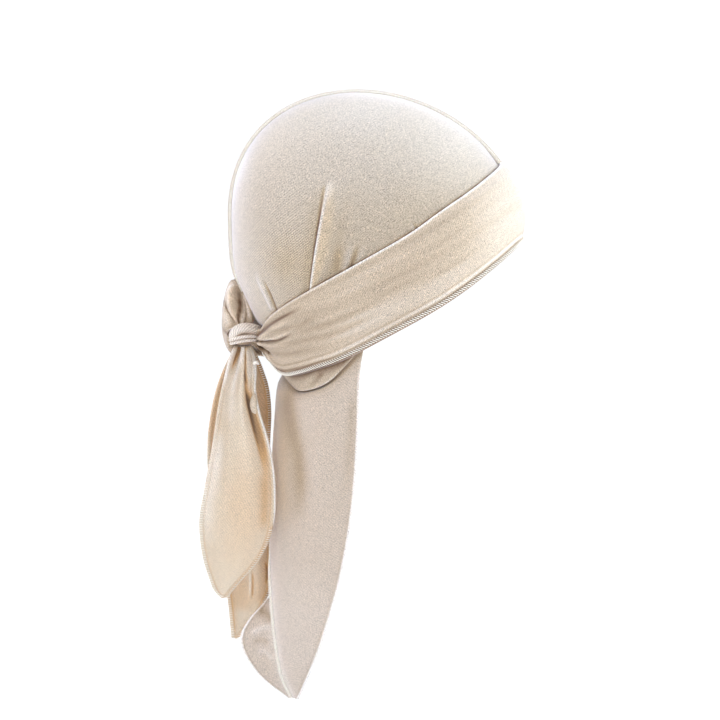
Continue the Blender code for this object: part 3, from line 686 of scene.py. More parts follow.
def spots(x, z, rows):
    return sum(row.tone * bell(x, row.x, row.long) * bell(z, row.z, row.high) for row in rows)


def bridge(start, end, lead, follow, t):
    """The smooth curve from start, which it leaves along lead, to end, which it reaches along follow."""
    return (
        start * (2 * t**3 - 3 * t**2 + 1)
        + lead * (t**3 - 2 * t**2 + t)
        + end * (3 * t**2 - 2 * t**3)
        + follow * (t**3 - t**2)
    )


def read(rows, key, at, wanted):
    """The smooth curve through one column of a table, read where its key column has a value."""
    keys = np.array([getattr(row, key) for row in rows], float)
    values = np.array([getattr(row, wanted) for row in rows], float)
    ends = np.clip(np.arange(len(keys))[:, None] + (-1, 1), 0, len(keys) - 1)
    slopes = (values[ends[:, 1]] - values[ends[:, 0]]) / (keys[ends[:, 1]] - keys[ends[:, 0]])
    if key == "turn":
        slopes[[0, -1]] = 0.0
    at = np.clip(at, keys[0], keys[-1])
    i = np.clip(np.searchsorted(keys, at, side="right") - 1, 0, len(keys) - 2)
    span = keys[i + 1] - keys[i]
    return bridge(values[i], values[i + 1], span * slopes[i], span * slopes[i + 1], (at - keys[i]) / span)


def points(x, y, z):
    """Points from their coordinates, which may be arrays or single numbers."""
    return np.stack(np.broadcast_arrays(x, y, z), axis=-1).astype(float)


def from_rim(ahead, side, up):
    """Points in the tilted rim's frame, in the world's frame."""
    return points(
        ahead * math.cos(TILT) - up * math.sin(TILT),
        side,
        ahead * math.sin(TILT) + up * math.cos(TILT),
    )


def rounded(value):
    return np.copysign(np.abs(value) ** ROUNDNESS, value)


def form_point(turn, up, off):
    """Points on the head form, turn degrees from the brow to the wearer's left and off mm outside it."""
    front, left = np.cos(np.radians(turn)), np.sin(np.radians(turn))
    below = mix(NAPE_DEPTH, BROW_DEPTH, np.maximum(front, 0.0) ** BROW_TAPER)
    semi = np.where(np.asarray(up) < WIDEST, below, DOME_HEIGHT)
    part = np.minimum(1.0, (up - WIDEST) / semi)
    rise = part * (semi + off)
    spread = np.sqrt(np.maximum(0.0, 1 - part * part))
    middle = MIDDLE - np.where(rise > 0, LEAN_ABOVE, LEAN_BELOW) * rise * rise
    ahead = middle + spread * (HALF_LENGTH + off) * rounded(front)
    side = spread**SIDE_FULLNESS * (HALF_WIDTH + off) * (1 - EGG * front) * rounded(left)
    return from_rim(ahead, side, WIDEST + rise)


def unit(vectors):
    return vectors / np.maximum(np.linalg.norm(vectors, axis=-1, keepdims=True), TINY)


def normals_of(grid, ring=False):
    """The direction square to a grid of points at each of them."""
    if ring:
        along = np.roll(grid, -1, axis=0) - np.roll(grid, 1, axis=0)
    else:
        along = np.gradient(grid, axis=0)
    return unit(np.cross(along, np.gradient(grid, axis=1)))


def lengths(grid, axis):
    """How far along its row or column each point of a grid is."""
    steps = np.linalg.norm(np.diff(grid, axis=axis), axis=-1)
    total = np.cumsum(steps, axis=axis)
    start = np.zeros_like(np.take(total, [0], axis=axis))
    return np.concatenate((start, total), axis=axis)


def smooth_line(path, parts=6):
    """A smooth line through a few points, with so many parts between each two of them."""
    path = np.array(path, float)
    padded = np.vstack((2 * path[0] - path[1], path, 2 * path[-1] - path[-2]))
    at = np.linspace(0, len(path) - 1, (len(path) - 1) * parts + 1)
    i = np.minimum(at.astype(int), len(path) - 2)
    t = (at - i)[:, None]
    a, b, c, d = (padded[i + k] for k in range(4))
    return 0.5 * (2 * b + (c - a) * t + (2 * a - 5 * b + 4 * c - d) * t**2 + (3 * b - a - 3 * c + d) * t**3)


def beside(flat, path):
    """How far points of a view lie from a line in it, and their share of its length."""
    line = smooth_line(path)
    total = lengths(line, 0)
    nearest = np.full(flat.shape[:-1], np.inf)
    along = np.zeros_like(nearest)
    for start, end, done, after in zip(line, line[1:], total, total[1:]):
        way = (end - start) / (after - done)
        gone = flat - start
        at = np.clip(gone @ way, 0.0, after - done)
        far = np.linalg.norm(gone - at[..., None] * way, axis=-1)
        along = np.where(far < nearest, (done + at) / total[-1], along)
        nearest = np.minimum(far, nearest)
    return nearest, along


def creased(grid, creases):
    """How far creases and ridges lift each point of a grid, and the tone and the warmth that they give it."""
    flat = grid[..., [0, 2]]
    lift, tone, warmth = np.zeros((3, *flat.shape[:-1]))
    for row in creases:
        aside, along = beside(flat, row.path)
        strength = ease(0.0, row.start, along) * ease(0.0, row.end, 1 - along)
        shade = strength * bell(aside, 0.0, row.wide * TONE_WIDTH)
        lift += row.high * strength * bell(aside, 0.0, row.wide)
        tone += row.tone * shade
        warmth += row.warmth * shade
    return lift, tone, warmth


def uneven(u, v, high, long, wide, seed, round_trip=None):
    """Smooth unevenness up to a height, in swells of long by wide. round_trip is u's length if it closes."""
    rows = round(round_trip / long) if round_trip else int(np.ptp(u) / long) + 3
    step = round_trip / rows if round_trip else long
    grid = np.random.default_rng(seed).uniform(-1, 1, (rows, int(np.ptp(v) / wide) + 3))
    a, b = (u - u.min()) / step, (v - v.min()) / wide
    i, j = np.floor(a).astype(int), np.floor(b).astype(int)
    s, t = ease(0.0, 1.0, a - i), ease(0.0, 1.0, b - j)
    before = mix(grid[i % rows, j], grid[(i + 1) % rows, j], s)
    after = mix(grid[i % rows, j + 1], grid[(i + 1) % rows, j + 1], s)
    return high * mix(before, after, t)


def rim_loops(number, ring):
    """The border of a grid of point numbers, and the number inside each of them."""
    rows, columns = number.shape
    if ring:
        return [(number[:, -1], number[:, -2]), (number[::-1, 0], number[::-1, 1])]
    edge = np.concatenate((number[0], number[1:, -1], number[-1, -2::-1], number[-2:0:-1, 0]))
    r = np.clip(edge // columns, 1, rows - 2)
    c = np.clip(edge % columns, 1, columns - 2)
    return [(edge, r * columns + c)]


def wall(name, front, back, material, uv, tone=0.0, knit=PLAIN_KNIT, warmth=0.0, ring=False, bulge=0.0,
         kept=ALL_KEPT):
    """A closed cloth wall between two grids of points, its edges rounded by a bulge.

    tone, knit and warmth are marks that the material reads. kept is the share of each that the back keeps.
    """
    rows, columns = front.shape[:2]
    count = rows * columns
    number = np.arange(count).reshape(rows, columns)
    wrapped = np.vstack((number, number[:1])) if ring else number
    corners = wrapped[:-1, :-1], wrapped[1:, :-1], wrapped[1:, 1:], wrapped[:-1, 1:]
    quads = np.stack(corners, axis=-1).reshape(-1, 4)
    verts = [front.reshape(-1, 3), back.reshape(-1, 3)]
    faces = [quads, quads[:, ::-1] + count]
    flat_uv = uv.reshape(-1, 2)
    marks = [np.broadcast_to(mark, (rows, columns)).ravel() for mark in (tone, knit, warmth)]
    marks = np.stack(marks, axis=-1)
    sheets, marked = [flat_uv, flat_uv], [marks, marks * np.array(kept)]
    first = 2 * count
    for edge, inner in rim_loops(number, ring):
        out = unit(verts[0][edge] - verts[0][inner])
        verts.append((verts[0][edge] + verts[1][edge]) / 2 + out * bulge)
        sheets.append(flat_uv[edge])
        marked.append(marks[edge])
        rim = first + np.arange(len(edge))
        first += len(edge)
        after, rim_after = np.roll(edge, -1), np.roll(rim, -1)
        faces.append(np.stack((edge, after, rim_after, rim), axis=-1))
        faces.append(np.stack((rim, rim_after, after + count, edge + count), axis=-1))
    verts, faces = np.concatenate(verts) * MM, np.concatenate(faces)
    a, b, c, d = (verts[faces[:, k]] for k in range(4))
    if np.sum(np.cross(b - a, c - a) * a) + np.sum(np.cross(c - a, d - a) * a) < 0:
        faces = faces[:, ::-1]
    mesh = bpy.data.meshes.new(name)
    mesh.from_pydata(verts.tolist(), [], faces.tolist())
    for kind, values in zip(MARKS, np.concatenate(marked).T):
        mesh.attributes.new(kind, "FLOAT", "POINT").data.foreach_set("value", values.copy())
    layer = mesh.uv_layers.new(name="cloth")
    layer.data.foreach_set("uv", np.concatenate(sheets)[faces.ravel()].ravel())
    made = bmesh.new()
    made.from_mesh(mesh)
    bmesh.ops.remove_doubles(made, verts=made.verts, dist=SAME)
    made.to_mesh(mesh)
    made.free()
    mesh.materials.append(material)
    mesh.shade_smooth()
    return link(name, mesh)


def link(name, data):
    made = bpy.data.objects.new(name, data)
    bpy.context.scene.collection.objects.link(made)
    return made


def joined(name, pieces):
    with bpy.context.temp_override(active_object=pieces[0], selected_editable_objects=pieces):
        bpy.ops.object.join()
    pieces[0].name = pieces[0].data.name = name
    return pieces[0]


def sheet_uv(grid):
    """A cloth's own coordinates in millimetres: along the grid's rows, and across them."""
    return np.stack((lengths(grid, 0), lengths(grid, 1)), axis=-1)


# Materials and node trees


class Value:
    """A node's value that is reckoned with like a number."""

    def __init__(self, net, socket):
        self.net, self.socket = net, socket

    def __add__(self, other):
        return self.net.maths("ADD", self, other)

    def __sub__(self, other):
        return self.net.maths("SUBTRACT", self, other)

    def __rsub__(self, other):
        return self.net.maths("SUBTRACT", other, self)

    def __mul__(self, other):
        return self.net.maths("MULTIPLY", self, other)

    __radd__, __rmul__ = __add__, __mul__


class Net:
    """The nodes of one tree: a material's, the world's or a geometry tree's."""

    def __init__(self, tree):
        self.tree = tree

    def put(self, socket, value):
        if isinstance(value, Value):
            self.tree.links.new(value.socket, socket)
        else:
            socket.default_value = value

    def set(self, node, **values):
        """Gives a node's inputs their values or links, by name with _ for a space."""
        for name, value in values.items():
            self.put(node.inputs[name.replace("_", " ")], value)

    def node(self, kind, settings=None, output=0, **values):
        made = self.tree.nodes.new(kind)
        for name, value in (settings or {}).items():
            setattr(made, name, value)
        self.set(made, **values)
        return Value(self, made.outputs[output]) if made.outputs else None

    def maths(self, operation, *values):
        made = self.tree.nodes.new("ShaderNodeMath")
        made.operation = operation
        for socket, value in zip(made.inputs, values):
            self.put(socket, value)
        return Value(self, made.outputs[0])

    def blend(self, factor, a, b, **settings):
        """A mix of two colours, from a at a factor of 0 to b at 1."""
        made = self.tree.nodes.new("ShaderNodeMix")
        for name, value in {"data_type": "RGBA", **settings}.items():
            setattr(made, name, value)
        sockets = {socket.identifier: socket for socket in (*made.inputs, *made.outputs)}
        for name, value in (("Factor_Float", factor), ("A_Color", a), ("B_Color", b)):
            self.put(sockets[name], value)
        return Value(self, sockets["Result_Color"])

    def times(self, colour, factor):
        return self.blend(1.0, colour, factor, blend_type="MULTIPLY", clamp_result=True)


def new_material(name):
    material = bpy.data.materials.new(name)
    material.use_nodes = True
    return material, Net(material.node_tree), material.node_tree.nodes["Principled BSDF"]


def rgba(colour, by=1.0):
    return tuple(min(1.0, c * by) for c in colour) + (1.0,)


def cloth(name, colour, warm, speckled, sheen):
    """A fine knit with a soft sheen, with painted shade, warmer and then darker, deep in a crease, painted
    warm light where thin cloth lets light through, and painted light along an edge.
    """
    material, net, shader = new_material(name)
    uv = net.node("ShaderNodeUVMap", {"uv_map": "cloth"})
    u, v = (net.node("ShaderNodeSeparateXYZ", output=k, Vector=uv) for k in range(2))
    place = net.node("ShaderNodeTexCoord", output=OBJECT_PLACE)
    tone, knit, warmth = (
        net.node("ShaderNodeAttribute", {"attribute_name": kind}, output=ATTRIBUTE_FACTOR) for kind in MARKS
    )
    mottle = net.node("ShaderNodeTexNoise", Vector=place, Scale=60.0, Detail=2.0, Roughness=0.6)
    fibre = net.node("ShaderNodeTexNoise", Vector=place, Scale=2200.0, Detail=0.0, Roughness=0.5)
    wales = (u * math.cos(KNIT_SLANT) + v * math.sin(KNIT_SLANT)) * (2 * math.pi / KNIT_WIDTH)
    courses = (v * math.cos(KNIT_SLANT) - u * math.sin(KNIT_SLANT)) * (2 * math.pi / KNIT_HEIGHT)
    bent = net.maths("SINE", wales)
    stitch = net.maths("SINE", courses + bent * 0.8 + mottle * 5.0) * (bent * 0.3 + 0.7) * knit
    grain = (fibre - 0.5) * 2.4
    bump = net.node("ShaderNodeBump", Strength=0.5, Distance=0.0003, Height=stitch * 0.35 + grain * 0.2)
    shown = net.blend((mottle - 0.42) * 0.15, rgba(colour), rgba(warm, 1.1))
    # Warmth paints warm light, a rising tone paints ever deeper shade, and one under 0 paints light
    steps = (
        (warmth, rgba(warm, 1.35)),
        (tone * 2.0, rgba(warm, 0.8)),
        (tone * 2.0 - 1.0, rgba(BROWN)),
        (tone * 2.0 - 2.0, rgba(DEEP)),
        (tone * -0.9, rgba(PALE)),
    )
    for factor, step in steps:
        shown = net.blend(factor, shown, step)
    net.set(
        shader,
        Base_Color=net.times(shown, grain * (knit * 0.4 + 0.75) * speckled + stitch * 0.55 + 1.0),
        Roughness=0.6,
        Sheen_Weight=sheen,
        Sheen_Roughness=0.4,
        Sheen_Tint=(0.93, 0.9, 1.0, 1.0),
        Subsurface_Weight=0.1,
        Subsurface_Radius=(1.0, 0.6, 0.35),
        Subsurface_Scale=0.0012,
        Normal=bump,
    )
    return material


def thread(name, colour):
    material, net, shader = new_material(name)
    net.set(shader, Base_Color=rgba(colour), Roughness=0.6, Sheen_Weight=0.3)
    return material


# Overlocked edges: a row of thread loops over an edge, made where a line of points runs


def overlock_tree(material):
    """Loops of thread over a line. Each has the line's own outward direction."""
    tree = bpy.data.node_groups.new("overlock", "GeometryNodeTree")
    tree.is_modifier = True
    tree.interface.new_socket("Geometry", in_out="INPUT", socket_type="NodeSocketGeometry")
    for name in LOOP_SIZES:
        tree.interface.new_socket(name, in_out="INPUT", socket_type="NodeSocketFloat")
    tree.interface.new_socket("Geometry", in_out="OUTPUT", socket_type="NodeSocketGeometry")
    net = Net(tree)
    given = {socket.name: Value(net, socket) for socket in tree.nodes.new("NodeGroupInput").outputs}
    line = net.node("GeometryNodeMeshToCurve", Mesh=given["Geometry"])
    even = net.node("GeometryNodeResampleCurve", {"mode": "LENGTH"}, Curve=line, Length=given["Pitch"])
    out = net.node("GeometryNodeInputNamedAttribute", {"data_type": "FLOAT_VECTOR"}, Name="out")
    turn = net.node(
        "FunctionNodeAxesToRotation",
        {"primary_axis": "Z", "secondary_axis": "X"},
        Primary_Axis=out,
        Secondary_Axis=net.node("GeometryNodeInputTangent"),
    )
    arc = net.node("GeometryNodeCurveArc", {"mode": "RADIUS"}, Resolution=LOOP_POINTS, Radius=1.0,
                   Start_Angle=-LOOP_OVER, Sweep_Angle=math.pi + 2 * LOOP_OVER)
    size = net.node("ShaderNodeCombineXYZ", X=given["Width"] * 0.5, Y=given["Height"], Z=1.0)
    lean = net.node("ShaderNodeCombineXYZ", X=math.pi / 2, Y=0.0, Z=given["Slant"] + math.pi / 2)
    loop = net.node("GeometryNodeTransform", Geometry=arc, Scale=size, Rotation=lean)
    section = net.node("GeometryNodeCurvePrimitiveCircle", {"mode": "RADIUS"}, Resolution=THREAD_SIDES,
                       Radius=given["Thread"])
    tube = net.node("GeometryNodeCurveToMesh", Curve=loop, Profile_Curve=section, Fill_Caps=True)
    placed = net.node("GeometryNodeInstanceOnPoints", Points=even, Instance=tube, Rotation=turn)
    real = net.node("GeometryNodeRealizeInstances", Geometry=placed)
    smooth = net.node("GeometryNodeSetShadeSmooth", Geometry=real)
    done = net.node("GeometryNodeSetMaterial", Geometry=smooth, Material=material)
    net.node("NodeGroupOutput", Geometry=done)
    return tree


def overlock(name, tree, line, out, stitch):
    """The stitches along a line of points, each with its outward direction."""
    mesh = bpy.data.meshes.new(name)
    mesh.from_pydata((line * MM).tolist(), [(k, k + 1) for k in range(len(line) - 1)], [])
    mesh.attributes.new("out", "FLOAT_VECTOR", "POINT").data.foreach_set("vector", unit(out).ravel())
    guide = link(name + "_line", mesh)
    made = guide.modifiers.new("overlock", "NODES")
    made.node_group = tree
    for item in tree.interface.items_tree:
        if item.name in LOOP_SIZES:
            made[item.identifier] = getattr(stitch, item.name) * (1.0 if item.name == "Slant" else MM)
    bpy.context.view_layer.update()
    baked = bpy.data.meshes.new_from_object(guide.evaluated_get(bpy.context.evaluated_depsgraph_get()))
    baked.name = name
    bpy.data.objects.remove(guide, do_unlink=True)
    return link(name, baked)


# Crown


def crown_columns():
    """The crown's columns, close together at the main pleat's lip and the small pleat."""
    even = np.arange(0, 180 + COLUMN_STEP / 2, COLUMN_STEP)
    clear = (even < SMALL_PLEAT[0] - SMALL_PLEAT_ROOM) | (even > SMALL_PLEAT[1] + SMALL_PLEAT_ROOM)
    columns = even[(np.abs(even - PLEAT_TURN) > LIP_ROOM) & clear]
    lip = PLEAT_TURN + np.array([*LIP_ENDS, *(row.behind for row in PLEAT_ROLL)])
    return np.unique(np.concatenate((columns, np.arange(*SMALL_PLEAT, SMALL_PLEAT_STEP), lip)))


def crown_heights():
    first = math.asin((FOLD_FOOT - WIDEST) / DOME_HEIGHT)
    dome = WIDEST + DOME_HEIGHT * np.sin(np.linspace(first, math.pi / 2, DOME_ROWS))
    return np.concatenate((np.linspace(RIM, FOLD_FOOT, FOOT_ROWS)[:-1], dome))


def up_pleat(up):
    """The share of the main pleat's length that is below a height."""
    return np.clip((up - FOLD_FOOT) / (PLEAT_TOP - FOLD_FOOT), 0.0, 1.0)


def leaned(turn, up):
    """A column's turn at a height: the columns lean with the main pleat."""
    square = np.sin(np.radians(turn)) / math.sin(math.radians(PLEAT_TURN))
    return turn - PLEAT_LEAN * up_pleat(up) * bell(turn, PLEAT_TURN, PLEAT_SPREAD) * square


def pleat_strength(up):
    """How strong the main pleat is at a height: full at the band, and gone at its top."""
    return np.clip((up - FOLD_END) / (FOLD_FOOT - FOLD_END), 0.0, 1.0) * (1 - up_pleat(up) ** 2)


def crown_surface(turn, up, rolled):
    """The crown's turns and lifts over the head form. rolled says whether the pleat's edge is rolled over."""
    behind = turn - PLEAT_TURN
    strength = pleat_strength(up)
    ahead = np.clip(-behind / mix(PLEAT_RUN, PLEAT_TOP_RUN, up_pleat(up)), 0.0, 1.0)
    slope = (1 - ahead) ** PLEAT_SLOPE
    turned = leaned(turn, up)
    if rolled:
        keys = [row.behind for row in PLEAT_ROLL]
        shift = np.interp(behind, keys, [row.shift for row in PLEAT_ROLL], left=0.0, right=0.0)
        height = np.interp(behind, keys, [row.height for row in PLEAT_ROLL], left=1.0, right=0.0)
        share = height * np.where(behind < 0, slope, 1.0)
        turned = turned + shift * strength
    else:
        share = slope * ease(*PLEAT_INSIDE, behind)
    return turned, PLEAT_LIP * strength * share


def crown_slack(turn, up):
    """How far the cloth stands off the head behind, just above the knot."""
    return CROWN_SLACK * ease(*SLACK_TURN, turn) * ease(*SLACK_FOOT, up) * ease(*SLACK_TOP, up)


def crown_marks(turn, turned, up, base):
    """The crown's tone, the share of its knit that shows, and its warmth."""
    behind, part, strength = turn - PLEAT_TURN, up_pleat(up), pleat_strength(up) ** 0.5
    tone = strength * (
        stripes(behind, LIP_STRIPES)
        + stripes(behind, LIP_BACK) * (behind > LIP_BACK_START)
        + stripes(behind, LIP_FRONT) * (1 - part)
    )
    tone += stripes(up - read(WRAP, "turn", turned, "high"), BAND_SHADOW)
    x, z = base[..., 0], base[..., 2]
    tone += spots(x, z, CROWN_SPOTS) + fades(x, CROWN_REAR) + ease(*CROWN_BROW, x) * fades(z, CROWN_HIGH)
    strip = LIP_WARM_WIDE[0] + LIP_WARM_WIDE[1] * np.sin(math.pi * part**LIP_WARM_TAPER)
    rear, front = (-strip * share for share in LIP_WARM_ENDS)
    warmth = LIP_WARMTH * strength * ease(*LIP_WARM_FROM, behind) * ease(front, rear, behind)
    return tone, mix(PLAIN_KNIT, 1.0, spots(x, z, KNIT_SPOT)) * (1 - warmth), warmth


def crown_uv(outer):
    """The crown's cloth laid out flat round its side's middle."""
    way = unit(outer - from_rim(MIDDLE, 0.0, WIDEST))
    reach = np.arccos(np.clip(np.abs(way[..., 1]), 0, 1)) * HALF_LENGTH
    angle = np.arctan2(way[..., 2], way[..., 0])
    return np.stack((reach * np.cos(angle), reach * np.sin(angle)), axis=-1)


def crown_half(name, side, material):
    turn, up = np.meshgrid(crown_columns(), crown_heights())
    turned, lift = crown_surface(turn, up, True)
    base = form_point(turned, up, CROWN_CLOTH)
    fine, shade, _ = creased(base, CROWN_CREASES)
    soft = uneven(base[..., 0], base[..., 2], *CROWN_SWELL, seed=5)
    soft = soft * ease(*CROWN_SWELL_UP, up) * ease(*CROWN_SWELL_TOP, up)
    rise = CROWN_RISE * ease(*CROWN_RISE_UP, up) + crown_slack(turn, up)
    outer = form_point(turned, up, CROWN_CLOTH + rise + lift + fine + soft)
    turned, lift = crown_surface(turn, up, False)
    inner = form_point(turned, up, lift)
    for grid in (outer, inner):
        grid[..., 1] = side * np.hypot(grid[..., 1], SEAM_HALF_ROOM)
    tone, knit, warmth = crown_marks(turn, turned, up, base)
    return wall(name, outer, inner, material, crown_uv(outer), shade + tone, knit, warmth, kept=CROWN_KEPT)


def seam_strip(name, roots, tops, material):
    """A narrow strip with a rounded top, across the middle plane."""
    profile = np.array(SEAM_PROFILE)
    across = profile[None, :, 0:1] * np.array((0.0, SEAM_WIDTH, 0.0))
    outer = mix(roots[:, None], tops[:, None], profile[None, :, 1:2]) + across
    inner = mix(roots, tops, SEAM_INSIDE)[:, None] + across * (1 - SEAM_INSIDE)
    return wall(name, outer, inner, material, sheet_uv(outer))


def crown_seam(material):
    """The seam from the rim at the brow over the top to the rim at the nape, and its stitches' line."""
    first = math.asin((RIM - WIDEST) / DOME_HEIGHT)
    heights = WIDEST + DOME_HEIGHT * np.sin(np.linspace(first, math.pi / 2, SEAM_ROWS))
    turn = np.repeat((0.0, 180.0), (SEAM_ROWS - 1, SEAM_ROWS))
    up = np.concatenate((heights[:-1], heights[::-1]))
    edge = np.where(turn == 0, WRAP[0].high, UNDER[-1].high)
    rear = mix(SEAM_LOW_REAR, 1.0, ease(*SEAM_REAR_UP, up))
    proud = SEAM_PROUD * ease(edge + GAP, edge + 3 * GAP, up) * np.where(turn > 0, rear, 1.0)
    roots = form_point(turn, up, SEAM_ROOT)
    tops = form_point(turn, up, CROWN_CLOTH + proud + crown_slack(turn, up))
    shown = up > edge + 3 * GAP
    return seam_strip("crown_seam_strip", roots, tops, material), tops[shown], (tops - roots)[shown]


# Straps


def band_point(rows, off, turn, across):
    """Points of a strap on the head, from its low edge (0) to its high one (1)."""
    low, high, stand = (read(rows, "turn", np.abs(turn), column) for column in ("low", "high", "stand"))
    return form_point(turn, mix(low, high, across), off + stand)


def hem(distance, width, height, crease=0.35):
    """A turned and stitched hem: a flat rise, with a crease where its stitches pull the cloth in."""
    rise = height * ease(width + HEM_STEP[0], width + HEM_STEP[1], distance)
    return rise - crease * bell(distance, width + STITCH_AT, STITCH_WIDE)


def under_wrap(material):
    columns, rows = UNDER_GRID
    turn, across = np.meshgrid(np.linspace(-180, 180, columns)[:-1], np.linspace(0, 1, rows), indexing="ij")
    base = band_point(UNDER, UNDER_OFF + UNDER_CLOTH, turn, across)
    inner = band_point(UNDER, UNDER_OFF, turn, across)
    far = lengths(base, 1)
    fold, shade, _ = creased(base, UNDER_CREASES)
    right = base[..., 1] < 0
    around, wide = turn * UNDER_ROUND / 360, across * UNDER_ACROSS
    swell = uneven(around, wide, *UNDER_SWELL, seed=11, round_trip=UNDER_ROUND)
    lift = swell + UNDER_EDGE[0] * bell(far, 0.0, UNDER_EDGE[1]) + fold * right
    outer = base + normals_of(base, True) * lift[..., None]
    low, high = (read(UNDER, "turn", np.abs(turn), column) for column in ("low", "high"))
    below = read(WRAP, "turn", np.abs(turn), "low") - mix(low, high, across)
    tone = UNDER_TONE + fades(below, UNDER_SHADOW) + shade * right
    tone += mix(*UNDER_EDGE_TONES, ease(*UNDER_REAR, base[..., 0])) * bell(far, 0.0, UNDER_EDGE_WIDE)
    return wall("under_wrap_cloth", outer, inner, material, sheet_uv(base), tone, ring=True,
                bulge=UNDER_CLOTH * STRAP_BULGE)


def top_lift(turn, across):
    """The brow band's top edge tucks in to the crown, rises over the main fold and leaves for the scoop."""
    bump = bell(np.abs(turn), PLEAT_TURN - FOLD_BUMP / 2, FOLD_BUMP)
    tucked = mix(-WRAP_TUCK, WRAP_OVER_FOLD, bump)
    loose = ease(LEFT_HUG - LEFT_LOOSE, LEFT_HUG, turn)
    return mix(tucked, WRAP_OVER_FOLD, loose) * ease(TUCK_START, 1.0, across)


def hug_rows(turn, across):
    """The strap where it lies on the head, with its gathers near the knot."""
    wave = 0.5 - 0.5 * np.cos(2 * math.pi * KNOT_PLEATS * across)
    pleat = KNOT_PLEAT_HEIGHT * ease(PLEATS_START, PLEATS_FULL, -turn) * wave
    return band_point(WRAP, WRAP_OFF + WRAP_CLOTH + top_lift(turn, across) + pleat, turn, across)


def knot_entry(entry, across):
    """Points just outside the knot, where the strap goes in."""
    angle = np.radians(mix(entry.low, entry.high, across))
    reach = math.sqrt(1 - ((entry.side - KNOT[1]) / KNOT_HALF[1]) ** 2)
    return points(
        KNOT[0] + (KNOT_HALF[0] * reach + entry.clear) * np.cos(angle),
        entry.side,
        KNOT[2] + (KNOT_HALF[2] * reach + entry.clear) * np.sin(angle),
    )


def scoop_rows(across, closing):
    """The strap's left end behind the head: across it, and closing from its open rim (0) to the knot (1)."""
    rim = points(read(SCOOP, "share", across, "x"), SCOOP_Y, read(SCOOP, "share", across, "z"))
    end = knot_entry(LEFT_ENTRY, across)
    quarter = closing * math.pi / 2
    made = mix(rim, end, (1 - np.cos(quarter))[..., None])
    made[..., 1] = mix(SCOOP_Y, end[..., 1], np.sin(quarter))
    made[..., 1] += read(SCOOP, "share", across, "depth") * np.sin(math.pi * closing) ** 2
    made[..., 0] += SCOOP_LOBE * ease(*LOBE_ACROSS, across) * np.sin(math.pi * closing**LOBE_LATE)
    return made


def sweep_rows(part, across):
    """The strap's left side between the head (0) and the open scoop's rim (1)."""
    off = WRAP_OFF + WRAP_CLOTH + top_lift(LEFT_HUG, across)
    before, start, after = (band_point(WRAP, off, LEFT_HUG + step, across) for step in (-1, 0, 1))
    end = scoop_rows(across, np.zeros_like(across))
    follow = np.array((0, -SCOOP_PULL, 0))
    return bridge(start, end, unit(after - before) * SWEEP_PULL, follow, part[..., None])


def knot_rows(part, across):
    """The strap's right end, from the knot (0) to where it lies on the head (1)."""
    first, second = (hug_rows(np.float64(step - WRAP_END), across) for step in (0, 1))
    start = knot_entry(RIGHT_ENTRY, across)
    gap = np.linalg.norm(first - start, axis=-1, keepdims=True)
    return bridge(start, first, first - start, unit(second - first) * gap, part[..., None])


def wrap_wrinkles(u, v, width, x):
    """Long soft wrinkles along the strap, none of them at its ends and edges and few at the brow."""
    slanted, broad = WRINKLES
    wrinkle = uneven(u, v + WRINKLE_SLANT * u, *slanted, seed=3) + uneven(u, v, *broad, seed=8)
    ends = ease(*WRINKLE_START, u) * ease(*WRINKLE_END, u.max() - u)
    edges = ease(*WRINKLE_LOW, v) * ease(*WRINKLE_HIGH, width - v)
    return wrinkle * ends * edges * mix(1.0, WRINKLE_BROW_SHARE, ease(*WRINKLE_BROW, x))


def forehead_wrap(material):
    # Its parts from the knot round to the knot again. The scoop's rows run across the strap
    parts = (
        (np.linspace(0, 1, KNOT_ROWS)[:-1], knot_rows),
        (np.arange(-WRAP_END, FINE_TO, FINE_STEP), hug_rows),
        (np.arange(FINE_TO, LEFT_HUG, HUG_STEP), hug_rows),
        (np.linspace(0, 1, SWEEP_ROWS)[:-1], sweep_rows),
        (np.linspace(0, 1, SCOOP_ROWS), scoop_rows),
    )
    across = np.linspace(0, 1, WRAP_ACROSS)
    base = np.concatenate([make(*np.meshgrid(values, across, indexing="ij")) for values, make in parts])
    u, v = lengths(base, 0), lengths(base, 1)
    x, y, width, to_end = base[..., 0], base[..., 1], v[:, -1:], u.max() - u
    row = np.arange(len(base))[:, None]
    right = ease(*SHOWN_SIDE, y)
    shown = right * (row < SHOWN_ROWS)
    scoop = ease(*SCOOP_FOLDS_IN, len(base) - row)
    fine, shade, _ = creased(base, BAND_CREASES)
    fold, hollow, warmth = creased(base, SCOOP_CREASES)
    # Painted light on the strap's inside behind the scoop, which lies in shade between the scoop and the
    # crown
    back = ease(*SCOOP_BACK_IN, len(base) - row) * scoop * ease(*SCOOP_BACK_X, x)
    tone = mix(shade * shown + hollow * scoop, SCOOP_BACK_TONE, back)
    wrinkle = wrap_wrinkles(u, v, width, x)
    hemmed = v / np.clip(width / FULL_WIDTH, LEAST_NARROW, 1.0)
    edges = hem(hemmed, *WRAP_HEM) + WRAP_TOP_EDGE[0] * bell(width - v, 0.0, WRAP_TOP_EDGE[1])
    lift = fine * shown + WRINKLE_LIFT * wrinkle + edges * ease(*HEM_START, u) * ease(*HEM_END, to_end)
    tone += WRINKLE_TONE * wrinkle + fades(x, WRAP_BROW) + fades(x, WRAP_REAR) * right
    tone += ease(*HEM_TONE_START, u) * ease(*HEM_TONE_END, to_end) * (
        stripes(v, HEM_STRIPES) + fades(v, HEM_EDGE) + stripes(width - v, TOP_STRIPES)
    )
    normal = normals_of(base)
    outer = base + normal * lift[..., None] + np.array((0.0, -1.0, 0.0)) * (fold * scoop)[..., None]
    made = wall("forehead_wrap_cloth", outer, base - normal * WRAP_CLOTH, material, sheet_uv(base), tone,
                WRAP_KNIT, warmth * scoop, bulge=WRAP_CLOTH * STRAP_BULGE)
    return made, outer[HEM_ROWS, 2], normal[HEM_ROWS, 2]


# Knot and tails


